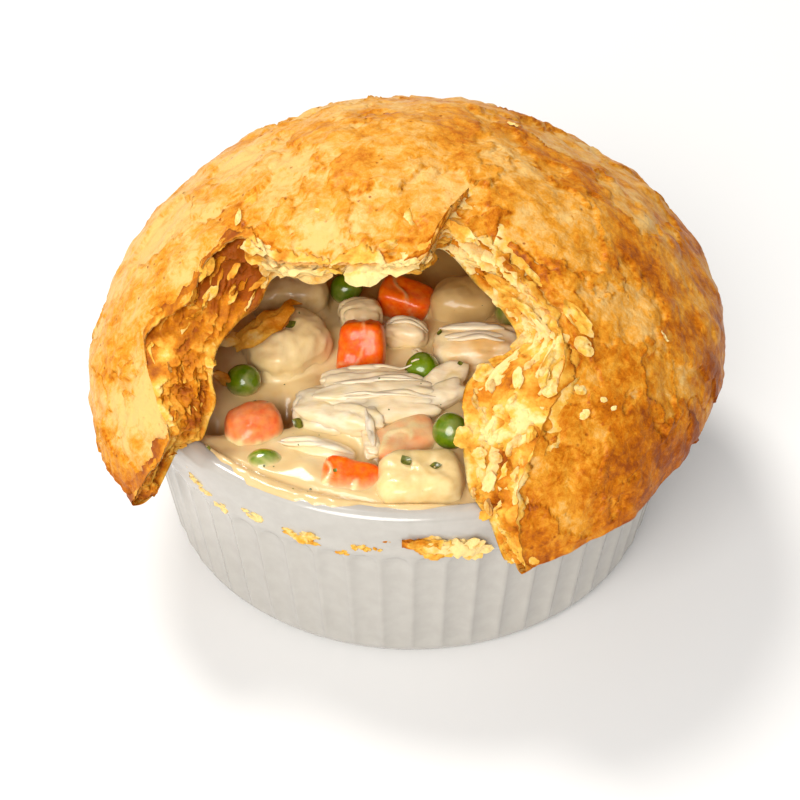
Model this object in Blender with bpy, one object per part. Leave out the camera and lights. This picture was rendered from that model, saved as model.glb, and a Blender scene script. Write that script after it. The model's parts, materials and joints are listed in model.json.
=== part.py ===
"""Chicken pot pie in its ramekin, with the puff crust torn open at the front.

Metres, +Z up.  The origin is the middle of the ramekin's underside, and the torn
opening faces -Y.  Azimuths are degrees from +X towards +Y.
"""

import math

import bmesh
import bpy
import numpy as np
from mathutils import Euler, Vector, noise

MM = 0.001
GAP = 0.3 * MM  # air between touching pieces

# Ramekin
RIM_RADIUS = 57.5 * MM
BASE_RADIUS = 51.0 * MM
RAMEKIN_HEIGHT = 44.0 * MM
BASE_FILLET = 3.0 * MM
FOOT_RADIUS = 48.0 * MM  # edge of the flat underside
COLLAR_BOTTOM = 32.5 * MM  # the smooth band under the rim starts here
FLUTE_COUNT = 56
FLUTE_DEPTH = 0.8 * MM
RIM_ROUND = 1.5 * MM
INNER_RADIUS = 53.2 * MM
INNER_BASE_RADIUS = 47.0 * MM
INNER_SLOPE = 0.4 * MM  # how much the inside narrows behind the collar
FLOOR_THICKNESS = 5.0 * MM

# Crust: a dome on the rim, with a skirt that hangs outside it
DOME_TOP = 87.4 * MM
CRUST_THICKNESS = 7.0 * MM
DOME_SLACK = 0.56  # how far the dome's shoulder falls inside an ellipse
CAVITY_RADIUS = 51.0 * MM
CAVITY_TOP = 80.0 * MM
CAVITY_SLACK = 0.30
SKIRT_THICKNESS = 5.5 * MM
CRUST_SEGMENTS = 60
DOME_RINGS = 10
CAVITY_RINGS = 6
SKIN_LUMP = 0.5 * MM

# The torn opening: (azimuth, height on the dome) of the outer skin's edge, then of
# the inner skin's edge.  Height on the dome runs from 0 at the top to 1 at the hem.
TEAR_EDGE = [
    # left side, up from the hem
    (-141, 1.10, -139, 1.10),
    (-138, 0.91, -138, 0.87),
    (-135, 0.79, -135, 0.73),
    (-142, 0.74, -138, 0.68),
    (-154, 0.69, -141, 0.62),
    (-150, 0.58, -141, 0.55),
    (-157, 0.51, -139, 0.50),
    (-155, 0.43, -142, 0.44),
    # top, from left to right
    (-137, 0.41, -136, 0.39),
    (-119, 0.37, -120, 0.34),
    (-104, 0.35, -106, 0.31),
    (-88, 0.34, -84, 0.32),
    (-80, 0.26, -76, 0.24),
    (-74, 0.24, -70, 0.20),
    # right side, down to the hem
    (-64, 0.32, -66, 0.34),
    (-56, 0.44, -61, 0.46),
    (-54, 0.56, -63, 0.54),
    (-61, 0.64, -78, 0.58),
    (-70, 0.73, -80, 0.67),
    (-74, 0.82, -80, 0.80),
    (-73, 1.10, -75, 1.10),
]
TEAR_CENTRE = (-105, 0.66)
TEAR_BOTTOM_POINTS = 12  # along the hem, where the cutter closes
TEAR_RAGGED = 0.012
TEAR_STEPS = 2  # points for each stretch of the outline

# Filling
SAUCE_EDGE = 41.5 * MM
SAUCE_TOP = 43.5 * MM
SAUCE_SEGMENTS = 32
PEA_RADIUS = 3.3 * MM
CLEARANCE = 2 * GAP  # how far the sauce stays from a piece, from its middle outwards

# Pieces of the filling, in millimetres and degrees:
# centre, size along the piece's own X, Y and Z, turn about X, Y and Z
CARROTS = [
    ((-30.6, -30.4, 42.2), (10.0, 9.5, 8.0), (8, -6, 24)),
    ((-10.2, -9.6, 44.6), (9.0, 6.0, 12.5), (-24, 0, -8)),
    ((-1.4, 8.8, 44.6), (10.5, 8.0, 6.5), (0, 10, -14)),
    ((-11.8, -44.4, 40.2), (10.5, 8.0, 7.0), (6, 8, -10)),
    ((-1.2, -34.6, 41.4), (11.5, 7.5, 6.5), (4, -8, 22)),
]
PEAS = [
    (7.4, -36.2, 46.8),
    (2.2, -16.6, 46.0),
    (-33.4, -18.0, 44.0),
    (20.4, 1.6, 45.4),
    (-27.8, -40.2, 39.6),
    (-13.6, 11.6, 44.6),
]
POTATOES = [
    ((1.2, -46.6, 42.6), (14.5, 11.0, 9.5), (4, 0, 2)),
    ((-25.2, -7.6, 44.6), (16.5, 14.0, 9.5), (8, 0, 28)),
    ((-25.5, 9.4, 45.0), (15.0, 10.0, 8.5), (0, 0, 6)),
    ((11.4, 6.4, 44.6), (12.5, 10.0, 9.0), (0, 0, -10)),
]
CHICKEN = [
    ((-8.6, -25.8, 44.2), (31.0, 10.0, 8.0), (12, -3, 5)),
    ((-19.0, -35.8, 41.2), (12.5, 4.4, 5.0), (0, -4, -12)),
    ((13.2, -10.4, 45.2), (17.0, 9.5, 8.5), (6, -4, -6)),
    ((-1.4, -3.0, 43.6), (8.5, 6.0, 6.0), (0, 0, -10)),
    ((-10.6, 2.0, 44.8), (8.0, 7.0, 7.0), (0, 0, 8)),
]
FLAKE_PLACE = ((-29.6, -8.6, 52.6), (13.0, 6.0, 1.4), (-14, -24, 30))

# Scrap of crust stuck to the wall under the rim
SCRAP_AZIMUTHS = (-91.0, -76.5)
SCRAP_HEIGHTS = (38.0 * MM, 34.5 * MM)  # of its middle, at the two ends
SCRAP_WIDTH = 4.6 * MM
SCRAP_THICKNESS = 1.8 * MM
SCRAP_STEPS = 8

# Colours (linear) and roughness
PORCELAIN = ("porcelain", (0.80, 0.79, 0.77), 0.15)
PASTRY = ("pastry", (0.62, 0.30, 0.07), 0.45)
PASTRY_PALE = ("pastry_pale", (0.80, 0.55, 0.22), 0.55)
SAUCE = ("cream_sauce", (0.72, 0.60, 0.38), 0.25)
CARROT = ("carrot", (0.80, 0.16, 0.03), 0.30)
PEA = ("pea", (0.13, 0.28, 0.03), 0.30)
POTATO = ("potato", (0.78, 0.68, 0.40), 0.35)
POULTRY = ("chicken", (0.70, 0.50, 0.30), 0.40)


def clear_scene():
    for item in list(bpy.data.objects):
        bpy.data.objects.remove(item, do_unlink=True)


def material(name, colour, roughness):
    found = bpy.data.materials.get(name)
    if found:
        return found
    made = bpy.data.materials.new(name)
    made.use_nodes = True
    shader = made.node_tree.nodes["Principled BSDF"]
    shader.inputs["Base Color"].default_value = (*colour, 1.0)
    shader.inputs["Roughness"].default_value = roughness
    shader.inputs["Metallic"].default_value = 0.0
    return made


def add_object(name, mesh, finish, smooth_angle=35.0):
    mesh.materials.append(material(*finish))
    mesh.shade_smooth()
    mesh.set_sharp_from_angle(angle=math.radians(smooth_angle))
    made = bpy.data.objects.new(name, mesh)
    bpy.context.scene.collection.objects.link(made)
    return made


def ring_mesh(name, rings):
    """A closed mesh through rings of equal length, with a fan over each end ring."""
    count = len(rings[0])
    body = bmesh.new()
    loops = [[body.verts.new(point) for point in ring] for ring in rings]
    for lower, upper in zip(loops, loops[1:]):
        for i in range(count):
            j = (i + 1) % count
            body.faces.new((lower[i], lower[j], upper[j], upper[i]))
    for loop in (loops[0], loops[-1]):
        middle = body.verts.new(sum((v.co for v in loop), Vector()) / count)
        for i in range(count):
            body.faces.new((loop[i], loop[(i + 1) % count], middle))
    bmesh.ops.triangulate(body, faces=body.faces[:])
    bmesh.ops.recalc_face_normals(body, faces=body.faces[:])
    mesh = bpy.data.meshes.new(name)
    body.to_mesh(mesh)
    body.free()
    return mesh


def circle(radius, height, count):
    """One ring; radius is a number or a function of the azimuth in radians."""
    ring = []
    for i in range(count):
        turn = 2 * math.pi * i / count
        r = radius(turn) if callable(radius) else radius
        ring.append((r * math.cos(turn), r * math.sin(turn), height))
    return ring


# Ramekin

def wall_radius(height):
    return BASE_RADIUS + (RIM_RADIUS - BASE_RADIUS) * height / RAMEKIN_HEIGHT


def fluted(height):
    """The wall's radius where every flute is one hollow between two ridges."""
    def radius(turn):
        ridge = round(turn * FLUTE_COUNT / math.pi) % 2 == 0
        return wall_radius(height) - (0 if ridge else FLUTE_DEPTH)
    return radius


def make_ramekin():
    count = 2 * FLUTE_COUNT
    flute_fade = 2.0 * MM
    profile = [
        (FOOT_RADIUS, 0),
        (fluted(BASE_FILLET), BASE_FILLET),
        (fluted(COLLAR_BOTTOM - flute_fade), COLLAR_BOTTOM - flute_fade),
        (wall_radius(COLLAR_BOTTOM), COLLAR_BOTTOM),
        (RIM_RADIUS, RAMEKIN_HEIGHT - RIM_ROUND),
        (RIM_RADIUS - RIM_ROUND, RAMEKIN_HEIGHT),
        (INNER_RADIUS + RIM_ROUND, RAMEKIN_HEIGHT),
        (INNER_RADIUS, RAMEKIN_HEIGHT - RIM_ROUND),
        (INNER_RADIUS - INNER_SLOPE, COLLAR_BOTTOM),
        (INNER_BASE_RADIUS, FLOOR_THICKNESS + BASE_FILLET),
        (INNER_BASE_RADIUS - BASE_FILLET, FLOOR_THICKNESS),
    ]
    rings = [circle(radius, height, count) for radius, height in profile]
    return add_object("ramekin", ring_mesh("ramekin", rings), PORCELAIN)


# Crust

def hem_radius(turn):
    return (66.1 - 0.4 * math.cos(turn) - 1.3 * math.sin(turn)
            - 1.4 * math.cos(2 * turn) + 1.7 * math.sin(2 * turn)) * MM


def hem_height(turn):
    return (38.6 + 1.6 * math.cos(turn) + 1.8 * math.sin(turn)
            + 2.6 * math.cos(2 * turn) - 3.0 * math.sin(2 * turn)) * MM


def arch(down, slack):
    """Share of the hem's radius, and of the rise, at one height on a dome."""
    lean = down * math.pi / 2
    return math.sin(lean) ** (1 + slack * math.sin(lean)), math.cos(lean)


def dome_point(azimuth, down, depth=0.0):
    """A point of the dome; depth is 0 on the outer skin and 1 on the inner skin."""
    turn = math.radians(azimuth)
    inset = CRUST_THICKNESS * depth
    spread, rise = arch(down, DOME_SLACK)
    radius = (hem_radius(turn) - inset) * spread
    bottom = hem_height(turn)
    height = bottom + (DOME_TOP - inset - bottom) * rise
    return Vector((radius * math.cos(turn), radius * math.sin(turn), height))


def skin_lump(point):
    scale = 70.0
    return SKIN_LUMP * noise.noise(point * scale)


def cavity_point(azimuth, down):
    turn = math.radians(azimuth)
    spread, rise = arch(down, CAVITY_SLACK)
    radius = CAVITY_RADIUS * spread
    seat = RAMEKIN_HEIGHT + GAP
    height = seat + (CAVITY_TOP - seat) * rise
    return Vector((radius * math.cos(turn), radius * math.sin(turn), height))


def skirt_points(azimuth):
    """The hem's underside, then the seat on the rim."""
    turn = math.radians(azimuth)
    edge = hem_radius(turn)
    bottom = hem_height(turn)
    seat = RAMEKIN_HEIGHT + GAP
    seat_outer = RIM_RADIUS + 2 * GAP
    lip_drop = 0.8 * MM
    profile = [
        (edge - 2.0 * MM, bottom - lip_drop),
        (max(seat_outer, edge - SKIRT_THICKNESS), min(bottom + lip_drop, seat - lip_drop)),
        (seat_outer, seat),
    ]
    return [Vector((r * math.cos(turn), r * math.sin(turn), z)) for r, z in profile]


def make_crust():
    azimuths = [360.0 * i / CRUST_SEGMENTS for i in range(CRUST_SEGMENTS)]
    rings = []
    for step in range(1, DOME_RINGS + 1):
        down = step / DOME_RINGS
        ring = [dome_point(a, down) for a in azimuths]
        rings.append([p + Vector((0, 0, skin_lump(p))) for p in ring])
    skirts = [skirt_points(a) for a in azimuths]
    for level in range(len(skirts[0])):
        rings.append([skirt[level] for skirt in skirts])
    for step in range(CAVITY_RINGS, 0, -1):
        rings.append([cavity_point(a, step / CAVITY_RINGS) for a in azimuths])
    crust = add_object("crust", ring_mesh("crust", rings), PASTRY)
    tear = crust.modifiers.new("tear", "BOOLEAN")
    tear.operation = "DIFFERENCE"
    tear.solver = "EXACT"
    tear.object = make_tear_cutter()
    return crust


def tear_outline():
    """Points of the tear as (outer azimuth, outer down, inner azimuth, inner down)."""
    outline = []
    for start, end in zip(TEAR_EDGE, TEAR_EDGE[1:]):
        for step in range(TEAR_STEPS):
            share = step / TEAR_STEPS
            point = [a + (b - a) * share for a, b in zip(start, end)]
            ragged = TEAR_RAGGED * (-1) ** len(outline)
            inside = start[1] < 1 and end[1] < 1
            outline.append([point[0], point[1] + ragged * inside, point[2], point[3]])
    outline.append(list(TEAR_EDGE[-1]))
    last, first = TEAR_EDGE[-1], TEAR_EDGE[0]
    for step in range(1, TEAR_BOTTOM_POINTS):
        share = step / TEAR_BOTTOM_POINTS
        outline.append([a + (b - a) * share for a, b in zip(last, first)])
    return outline


def tear_ring(outline, depth, share=1.0):
    """The outline at one depth in the crust, drawn in towards the tear's centre."""
    slant = min(depth, 1.1)
    ring = []
    for outer_az, outer_down, inner_az, inner_down in outline:
        azimuth = outer_az + (inner_az - outer_az) * slant
        down = outer_down + (inner_down - outer_down) * slant
        azimuth = TEAR_CENTRE[0] + (azimuth - TEAR_CENTRE[0]) * share
        down = TEAR_CENTRE[1] + (down - TEAR_CENTRE[1]) * share
        ring.append(dome_point(azimuth, down, depth))
    return ring


def make_tear_cutter():
    outline = tear_outline()
    above, below = -0.9, 2.8  # depths clear of the outer skin and of the seat
    shares = [0.25, 0.5, 0.75]
    rings = [tear_ring(outline, above, share) for share in shares]
    rings += [tear_ring(outline, depth) for depth in (above, 0.0, 1.0, below)]
    rings += [tear_ring(outline, below, share) for share in reversed(shares)]
    cutter = add_object("tear_cutter", ring_mesh("tear_cutter", rings), PASTRY)
    cutter.hide_render = True
    cutter.display_type = "WIRE"
    return cutter


# Filling

def lump_mesh(name, size, squareness, wobble, cuts=2):
    """A rounded block: a cube's grid drawn part of the way towards an ellipsoid."""
    body = bmesh.new()
    bmesh.ops.create_cube(body, size=2.0)
    bmesh.ops.subdivide_edges(body, edges=body.edges[:], cuts=cuts, use_grid_fill=True)
    half = Vector(size) / 2
    for vert in body.verts:
        ball = vert.co.normalized()
        spot = vert.co * squareness + ball * (1 - squareness)
        shake = 1 + wobble * noise.noise(spot * 1.7 + Vector(size) * 900)
        vert.co = Vector(a * b for a, b in zip(spot, half)) * shake
    bmesh.ops.triangulate(body, faces=body.faces[:])
    mesh = bpy.data.meshes.new(name)
    body.to_mesh(mesh)
    body.free()
    return mesh


def place(item, centre, turn):
    item.location = Vector(centre) * MM
    item.rotation_euler = Euler([math.radians(a) for a in turn])


def make_cutter_copy(item, cutters):
    """A copy of a piece, larger by the gap, which clears its place in the sauce."""
    copy = bpy.data.objects.new(item.name + "_cutter", item.data.copy())
    bpy.context.scene.collection.objects.link(copy)
    cutters.objects.link(copy)
    copy.hide_render = True
    copy.display_type = "WIRE"
    copy.location = item.location
    copy.rotation_euler = item.rotation_euler
    for vert in copy.data.vertices:
        vert.co += vert.co.normalized() * CLEARANCE


def make_blocks(kind, pieces, finish, squareness, wobble):
    made = []
    for number, (centre, size, turn) in enumerate(pieces, 1):
        name = f"{kind}_{number}"
        mesh = lump_mesh(name, Vector(size) * MM, squareness, wobble)
        item = add_object(name, mesh, finish)
        place(item, centre, turn)
        made.append(item)
    return made


def make_peas():
    made = []
    for number, centre in enumerate(PEAS, 1):
        name = f"pea_{number}"
        body = bmesh.new()
        bmesh.ops.create_icosphere(body, subdivisions=2, radius=PEA_RADIUS)
        mesh = bpy.data.meshes.new(name)
        body.to_mesh(mesh)
        body.free()
        item = add_object(name, mesh, PEA, smooth_angle=60)
        place(item, centre, (0, 0, 0))
        made.append(item)
    return made


def make_filling(pieces):
    """The sauce, filling the dish up to a shallow heap, hollowed under each piece."""
    wall = INNER_RADIUS - 1.3 * GAP
    floor = FLOOR_THICKNESS + GAP
    profile = [
        (INNER_BASE_RADIUS - BASE_FILLET - GAP, floor),
        (INNER_BASE_RADIUS - 2 * GAP, floor + BASE_FILLET),
        (wall - INNER_SLOPE, COLLAR_BOTTOM),
        (wall, SAUCE_EDGE),
    ]
    heap_rings = 3
    for step in range(1, heap_rings + 1):
        out = 1 - step / (heap_rings + 1)
        profile.append((wall * out, SAUCE_EDGE + (SAUCE_TOP - SAUCE_EDGE) * (1 - out ** 2)))
    rings = [circle(radius, height, SAUCE_SEGMENTS) for radius, height in profile]
    filling = add_object("filling", ring_mesh("filling", rings), SAUCE)
    cutters = bpy.data.collections.new("piece_cutters")
    for item in pieces:
        make_cutter_copy(item, cutters)
    hollow = filling.modifiers.new("hollow", "BOOLEAN")
    hollow.operation = "DIFFERENCE"
    hollow.solver = "EXACT"
    hollow.operand_type = "COLLECTION"
    hollow.collection = cutters
    return filling


# Loose crust

def plate_mesh(name, size, curl):
    """A thin leaf with a ragged oval outline, curled down along its length."""
    length, width, thick = size
    count = 10
    rings = []
    for side, share in ((-1, 0.5), (-1, 0.96), (0, 1.0), (1, 0.96), (1, 0.5)):
        ring = []
        for i in range(count):
            turn = 2 * math.pi * i / count
            ragged = 1 + 0.10 * (-1) ** i
            x = 0.5 * length * share * ragged * math.cos(turn)
            y = 0.5 * width * share * ragged * math.sin(turn)
            z = 0.5 * thick * side - curl * (2 * x / length) ** 2
            ring.append((x, y, z))
        rings.append(ring)
    return ring_mesh(name, rings)


def make_flake():
    centre, size, turn = FLAKE_PLACE
    mesh = plate_mesh("crust_flake", [a * MM for a in size], 1.2 * MM)
    item = add_object("crust_flake", mesh, PASTRY)
    place(item, centre, turn)
    return item


def make_scrap():
    """A torn strip of crust that clings to the wall, thin at both ends."""
    rings = []
    for step in range(SCRAP_STEPS + 1):
        share = step / SCRAP_STEPS
        turn = math.radians(SCRAP_AZIMUTHS[0] + (SCRAP_AZIMUTHS[1] - SCRAP_AZIMUTHS[0]) * share)
        middle = SCRAP_HEIGHTS[0] + (SCRAP_HEIGHTS[1] - SCRAP_HEIGHTS[0]) * share
        swell = 0.45 + 0.55 * math.sin(math.pi * share)
        half = SCRAP_WIDTH / 2 * swell * (1 + 0.12 * (-1) ** step)
        section = [
            (-half, 0), (-half * 0.9, 0.6), (-half * 0.2, 1.0),
            (half * 0.7, 0.8), (half, 0), (0, 0),
        ]
        ring = []
        for rise, lift in section:
            height = middle + rise
            r = wall_radius(height) + 2 * GAP + SCRAP_THICKNESS * swell * lift
            ring.append((r * math.cos(turn), r * math.sin(turn), height))
        rings.append(ring)
    return add_object("crust_scrap", ring_mesh("crust_scrap", rings), PASTRY_PALE)


def main():
    clear_scene()
    make_ramekin()
    make_crust()
    pieces = make_blocks("carrot", CARROTS, CARROT, squareness=0.72, wobble=0.10)
    pieces += make_peas()
    pieces += make_blocks("potato", POTATOES, POTATO, squareness=0.50, wobble=0.16)
    pieces += make_blocks("chicken", CHICKEN, POULTRY, squareness=0.35, wobble=0.30)
    make_filling(pieces)
    make_flake()
    make_scrap()


main()
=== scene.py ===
"""Looks of the chicken pot pie: dish, torn puff crust, filling, and a studio set.

Shapes are worked out in millimetres with numpy and turned into meshes in metres.
Azimuths are degrees from +X towards +Y; the torn opening faces -Y.
"""

import json
import math
from collections import namedtuple

import bpy
import numpy as np
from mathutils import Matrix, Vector
from mathutils.bvhtree import BVHTree

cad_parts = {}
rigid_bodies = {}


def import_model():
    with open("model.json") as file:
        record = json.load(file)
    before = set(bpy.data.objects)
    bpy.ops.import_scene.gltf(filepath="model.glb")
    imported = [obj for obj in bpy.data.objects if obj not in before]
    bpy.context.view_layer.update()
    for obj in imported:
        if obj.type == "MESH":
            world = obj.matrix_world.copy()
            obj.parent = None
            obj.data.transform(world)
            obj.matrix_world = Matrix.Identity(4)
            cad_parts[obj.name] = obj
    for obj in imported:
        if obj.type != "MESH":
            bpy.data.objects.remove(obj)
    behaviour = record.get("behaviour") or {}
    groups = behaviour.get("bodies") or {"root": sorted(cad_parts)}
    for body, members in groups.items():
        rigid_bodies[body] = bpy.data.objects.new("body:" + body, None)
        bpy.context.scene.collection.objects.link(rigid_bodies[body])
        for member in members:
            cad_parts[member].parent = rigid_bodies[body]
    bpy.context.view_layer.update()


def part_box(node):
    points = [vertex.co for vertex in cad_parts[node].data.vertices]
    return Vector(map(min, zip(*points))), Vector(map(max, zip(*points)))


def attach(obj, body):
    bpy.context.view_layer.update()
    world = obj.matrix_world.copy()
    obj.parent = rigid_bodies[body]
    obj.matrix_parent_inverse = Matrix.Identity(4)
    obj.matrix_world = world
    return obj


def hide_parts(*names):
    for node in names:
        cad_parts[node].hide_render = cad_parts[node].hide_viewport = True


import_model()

RANDOM = np.random.default_rng(11)
MM = 0.001
UP = np.array([0, 0, 1.0])


def high_corner(node):
    """The highest corner of a CAD node's box, in millimetres."""
    return np.array(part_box(node)[1]) * 1000


RIM_R, _, RIM_Z = high_corner("ramekin")
CRUST_TOP = high_corner("crust")[2]


# ---------------------------------------------------------------- numbers and noise

def smoothstep(low, high, value):
    share = np.clip((value - low) / (high - low), 0, 1)
    return share * share * (3 - 2 * share)


def lerp(a, b, share):
    return a + (b - a) * share


def bell(value, middle, width):
    """1 at the middle, falling smoothly to about 0 two widths away."""
    return np.exp(-((value - middle) / width) ** 2)


def circle(count):
    """Evenly spaced angles once round."""
    return np.linspace(0, 2 * math.pi, count, endpoint=False)


def unit(vectors):
    return vectors / np.linalg.norm(vectors, axis=-1, keepdims=True)


def polar(radius, turn, height):
    """Points from a radius, an angle in radians and a height."""
    return np.stack(np.broadcast_arrays(radius * np.cos(turn), radius * np.sin(turn), height), -1)


def compass(azimuth):
    """Unit vectors out from the pie's axis and sideways, at an azimuth in degrees."""
    turn = math.radians(azimuth)
    return polar(1.0, turn, 0.0), polar(1.0, turn + math.pi / 2, 0.0)


def flat_noise(x, y, size, seed):
    """Noise over level ground."""
    return noise(np.stack([x, y, 0 * x], -1), size, seed)


def hash_cells(cell, seed):
    """A whole number from 0 to 65535 for each integer cell."""
    mixed = (cell[..., 0] * 73856093) ^ (cell[..., 1] * 19349663) ^ (cell[..., 2] * 83492791)
    mixed = (mixed ^ (seed * 2654435761)) & 0xFFFFFFFF
    mixed = (mixed * 2246822519) & 0xFFFFFFFF
    mixed = mixed ^ (mixed >> 15)
    mixed = (mixed * 3266489917) & 0xFFFFFFFF
    return (mixed ^ (mixed >> 16)) & 0xFFFF


def even_directions(count):
    """Unit vectors spread evenly over a ball."""
    rank = np.arange(count) + 0.5
    lean = np.arccos(1 - 2 * rank / count)
    return polar(np.sin(lean), math.pi * (1 + 5 ** 0.5) * rank, np.cos(lean))


GRADIENTS = even_directions(256)


def noise(points, size=1.0, seed=0):
    """Smooth noise from about -1 to 1, with lumps of the given size."""
    place = np.asarray(points, float) / size + 0.37 * seed
    cell = np.floor(place).astype(np.int64)
    inside = place - cell
    fade = inside ** 3 * (inside * (inside * 6 - 15) + 10)
    total = np.zeros(place.shape[:-1])
    for corner in np.ndindex(2, 2, 2):
        step = np.array(corner)
        gradient = GRADIENTS[hash_cells(cell + step, seed) & 255]
        weight = np.prod(np.where(step == 1, fade, 1 - fade), axis=-1)
        total += weight * np.sum(gradient * (inside - step), axis=-1)
    return total * 1.7


def fbm(points, size=1.0, octaves=4, seed=0, gain=0.5):
    """Noise of several sizes, each half the one before."""
    total = 0
    for octave in range(octaves):
        total = total + gain ** octave * noise(points, size / 2 ** octave, seed + octave)
    return total


def cells(points, size=1.0, seed=0):
    """Distance to the nearest scattered point, in cell widths, and that point's own number."""
    place = np.asarray(points, float) / size
    cell = np.floor(place).astype(np.int64)
    best = np.full(place.shape[:-1], 9.0)
    own = np.zeros(place.shape[:-1])
    for step in np.ndindex(3, 3, 3):
        near = cell + np.array(step) - 1
        spot = np.stack([hash_cells(near, seed + axis) / 65535 for axis in range(3)], -1)
        gap = np.linalg.norm(near + spot - place, axis=-1)
        closer = gap < best
        best = np.where(closer, gap, best)
        own = np.where(closer, hash_cells(near, seed + 7) / 65535, own)
    return best, own


def line_noise(along, size, seed=0):
    """Noise along a line, for ragged edges."""
    along = np.asarray(along, float)
    points = np.stack([along, along * 0 + 3.1 * seed, along * 0], -1)
    return noise(points, size, seed)


def ragged(along, seed, amount):
    """A torn edge: wide bites, teeth and fine nicks, from 0 to about amount."""
    wide = line_noise(along, 9.0, seed)
    teeth = np.abs(line_noise(along, 2.6, seed + 1))
    nicks = np.abs(line_noise(along, 0.9, seed + 2))
    return amount * np.clip(0.35 + 0.45 * wide + 0.55 * teeth + 0.22 * nicks, 0, None)


# ---------------------------------------------------------------- meshes

def grid_faces(rows, columns, wrap=False):
    """Quads of a grid of rows by columns; wrap joins the last column to the first."""
    row = np.arange(rows - 1)[:, None]
    column = np.arange(columns if wrap else columns - 1)[None, :]
    after = (column + 1) % columns
    quads = np.stack([
        row * columns + column, row * columns + after,
        (row + 1) * columns + after, (row + 1) * columns + column,
    ], -1)
    return quads.reshape(-1, 4)


def make_mesh(name, points, faces, material, attributes=None, smooth=True):
    """An object from points in millimetres and quads."""
    points = np.asarray(points, float).reshape(-1, 3)
    faces = np.asarray(faces, np.int32)
    sides = faces.shape[1]
    mesh = bpy.data.meshes.new(name)
    mesh.vertices.add(len(points))
    mesh.vertices.foreach_set("co", (points * MM).astype(np.float32).ravel())
    mesh.loops.add(faces.size)
    mesh.loops.foreach_set("vertex_index", faces.ravel())
    mesh.polygons.add(len(faces))
    mesh.polygons.foreach_set("loop_start", np.arange(0, faces.size, sides, dtype=np.int32))
    mesh.update(calc_edges=True)
    mesh.validate()
    mesh.polygons.foreach_set("use_smooth", np.full(len(mesh.polygons), smooth))
    for key, values in (attributes or {}).items():
        layer = mesh.attributes.new(key, "FLOAT", "POINT")
        layer.data.foreach_set("value", np.asarray(values, np.float32).ravel())
    mesh.materials.append(material)
    made = bpy.data.objects.new(name, mesh)
    bpy.context.scene.collection.objects.link(made)
    return made


def join_parts(parts):
    """Several (points, faces, attributes) as one."""
    points, faces, start = [], [], 0
    values = {key: [] for key in parts[0][2]}
    for part_points, part_faces, part_values in parts:
        points.append(part_points.reshape(-1, 3))
        faces.append(part_faces + start)
        start += len(points[-1])
        for key in values:
            values[key].append(np.ravel(part_values[key]))
    return np.concatenate(points), np.concatenate(faces), {
        key: np.concatenate(value) for key, value in values.items()}


def grid_normals(points):
    """Unit normals of a (rows, columns, 3) grid, from its rows and columns."""
    normal = np.cross(np.gradient(points, axis=1), np.gradient(points, axis=0))
    return normal / np.maximum(np.linalg.norm(normal, axis=-1, keepdims=True), 1e-9)


def add_piece(name, slot, nodes, material, points, faces, attributes=None):
    """A piece of the looks: it rides the one body and replaces the CAD nodes listed; slot is not used."""
    piece = make_mesh(name, points, faces, material, attributes)
    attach(piece, "root")
    if nodes:
        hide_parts(*nodes)
    return piece


def add_parts(name, slot, nodes, material, parts):
    return add_piece(name, slot, nodes, material, *join_parts(parts))


# ---------------------------------------------------------------- materials

class Shader:
    """A few short calls for building a node material; sizes are in millimetres."""

    def __init__(self, name):
        self.material = bpy.data.materials.new(name)
        self.material.use_nodes = True
        self.tree = self.material.node_tree
        self.out = self.tree.nodes["Principled BSDF"]
        self.coordinates = self.node("ShaderNodeTexCoord", {}).outputs["Object"]

    def feed(self, target, value):
        if isinstance(value, bpy.types.NodeSocket):
            self.tree.links.new(value, target)
        else:
            target.default_value = (*value, 1.0) if target.type == "RGBA" else value

    def node(self, kind, inputs, **settings):
        made = self.tree.nodes.new(kind)
        for key, value in settings.items():
            setattr(made, key, value)
        for key, value in inputs.items():
            self.feed(made.inputs[key], value)
        return made

    def noise(self, size, detail=4.0, roughness=0.55, distortion=0.0, stretch=None):
        place = self.coordinates
        if stretch:
            place = self.node("ShaderNodeMapping", {"Vector": place, "Scale": stretch}).outputs["Vector"]
        inputs = {"Vector": place, "Scale": 1 / (size * MM), "Detail": detail, "Roughness": roughness}
        return self.node("ShaderNodeTexNoise", {**inputs, "Distortion": distortion}).outputs["Fac"]

    def voronoi(self, size):
        inputs = {"Vector": self.coordinates, "Scale": 1 / (size * MM)}
        return self.node("ShaderNodeTexVoronoi", inputs).outputs["Distance"]

    def attribute(self, name):
        return self.node("ShaderNodeAttribute", {}, attribute_name=name).outputs["Fac"]

    def add(self, a, b, clamp=False):
        return self.node("ShaderNodeMath", {0: a, 1: b}, operation="ADD", use_clamp=clamp).outputs[0]

    def times(self, a, b, clamp=True):
        return self.node("ShaderNodeMath", {0: a, 1: b}, operation="MULTIPLY", use_clamp=clamp).outputs[0]

    def remap(self, value, low, high, to_low=0.0, to_high=1.0):
        inputs = {"Value": value, "From Min": low, "From Max": high, "To Min": to_low, "To Max": to_high}
        return self.node("ShaderNodeMapRange", inputs).outputs["Result"]

    def mix(self, share, a, b):
        """Two colours mixed; sockets 6 and 7 in and 2 out are the node's colour sockets."""
        return self.node("ShaderNodeMix", {0: share, 6: a, 7: b}, data_type="RGBA").outputs[2]

    def ramp(self, value, *stops):
        """A colour ramp through (place, colour) stops."""
        made = self.node("ShaderNodeValToRGB", {"Fac": value})
        elements = made.color_ramp.elements
        while len(elements) < len(stops):
            elements.new(0.5)
        for element, (place, colour) in zip(elements, stops):
            element.position, element.color = place, (*colour, 1.0)
        return made.outputs["Color"]

    def bump(self, height, distance, strength=1.0, below=None):
        inputs = {"Strength": strength, "Distance": distance * MM, "Height": height}
        if below is not None:
            inputs["Normal"] = below
        return self.node("ShaderNodeBump", inputs).outputs["Normal"]

    def set(self, **values):
        for key, value in values.items():
            self.feed(self.out.inputs[key.replace("_", " ")], value)
        return self.material


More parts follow.
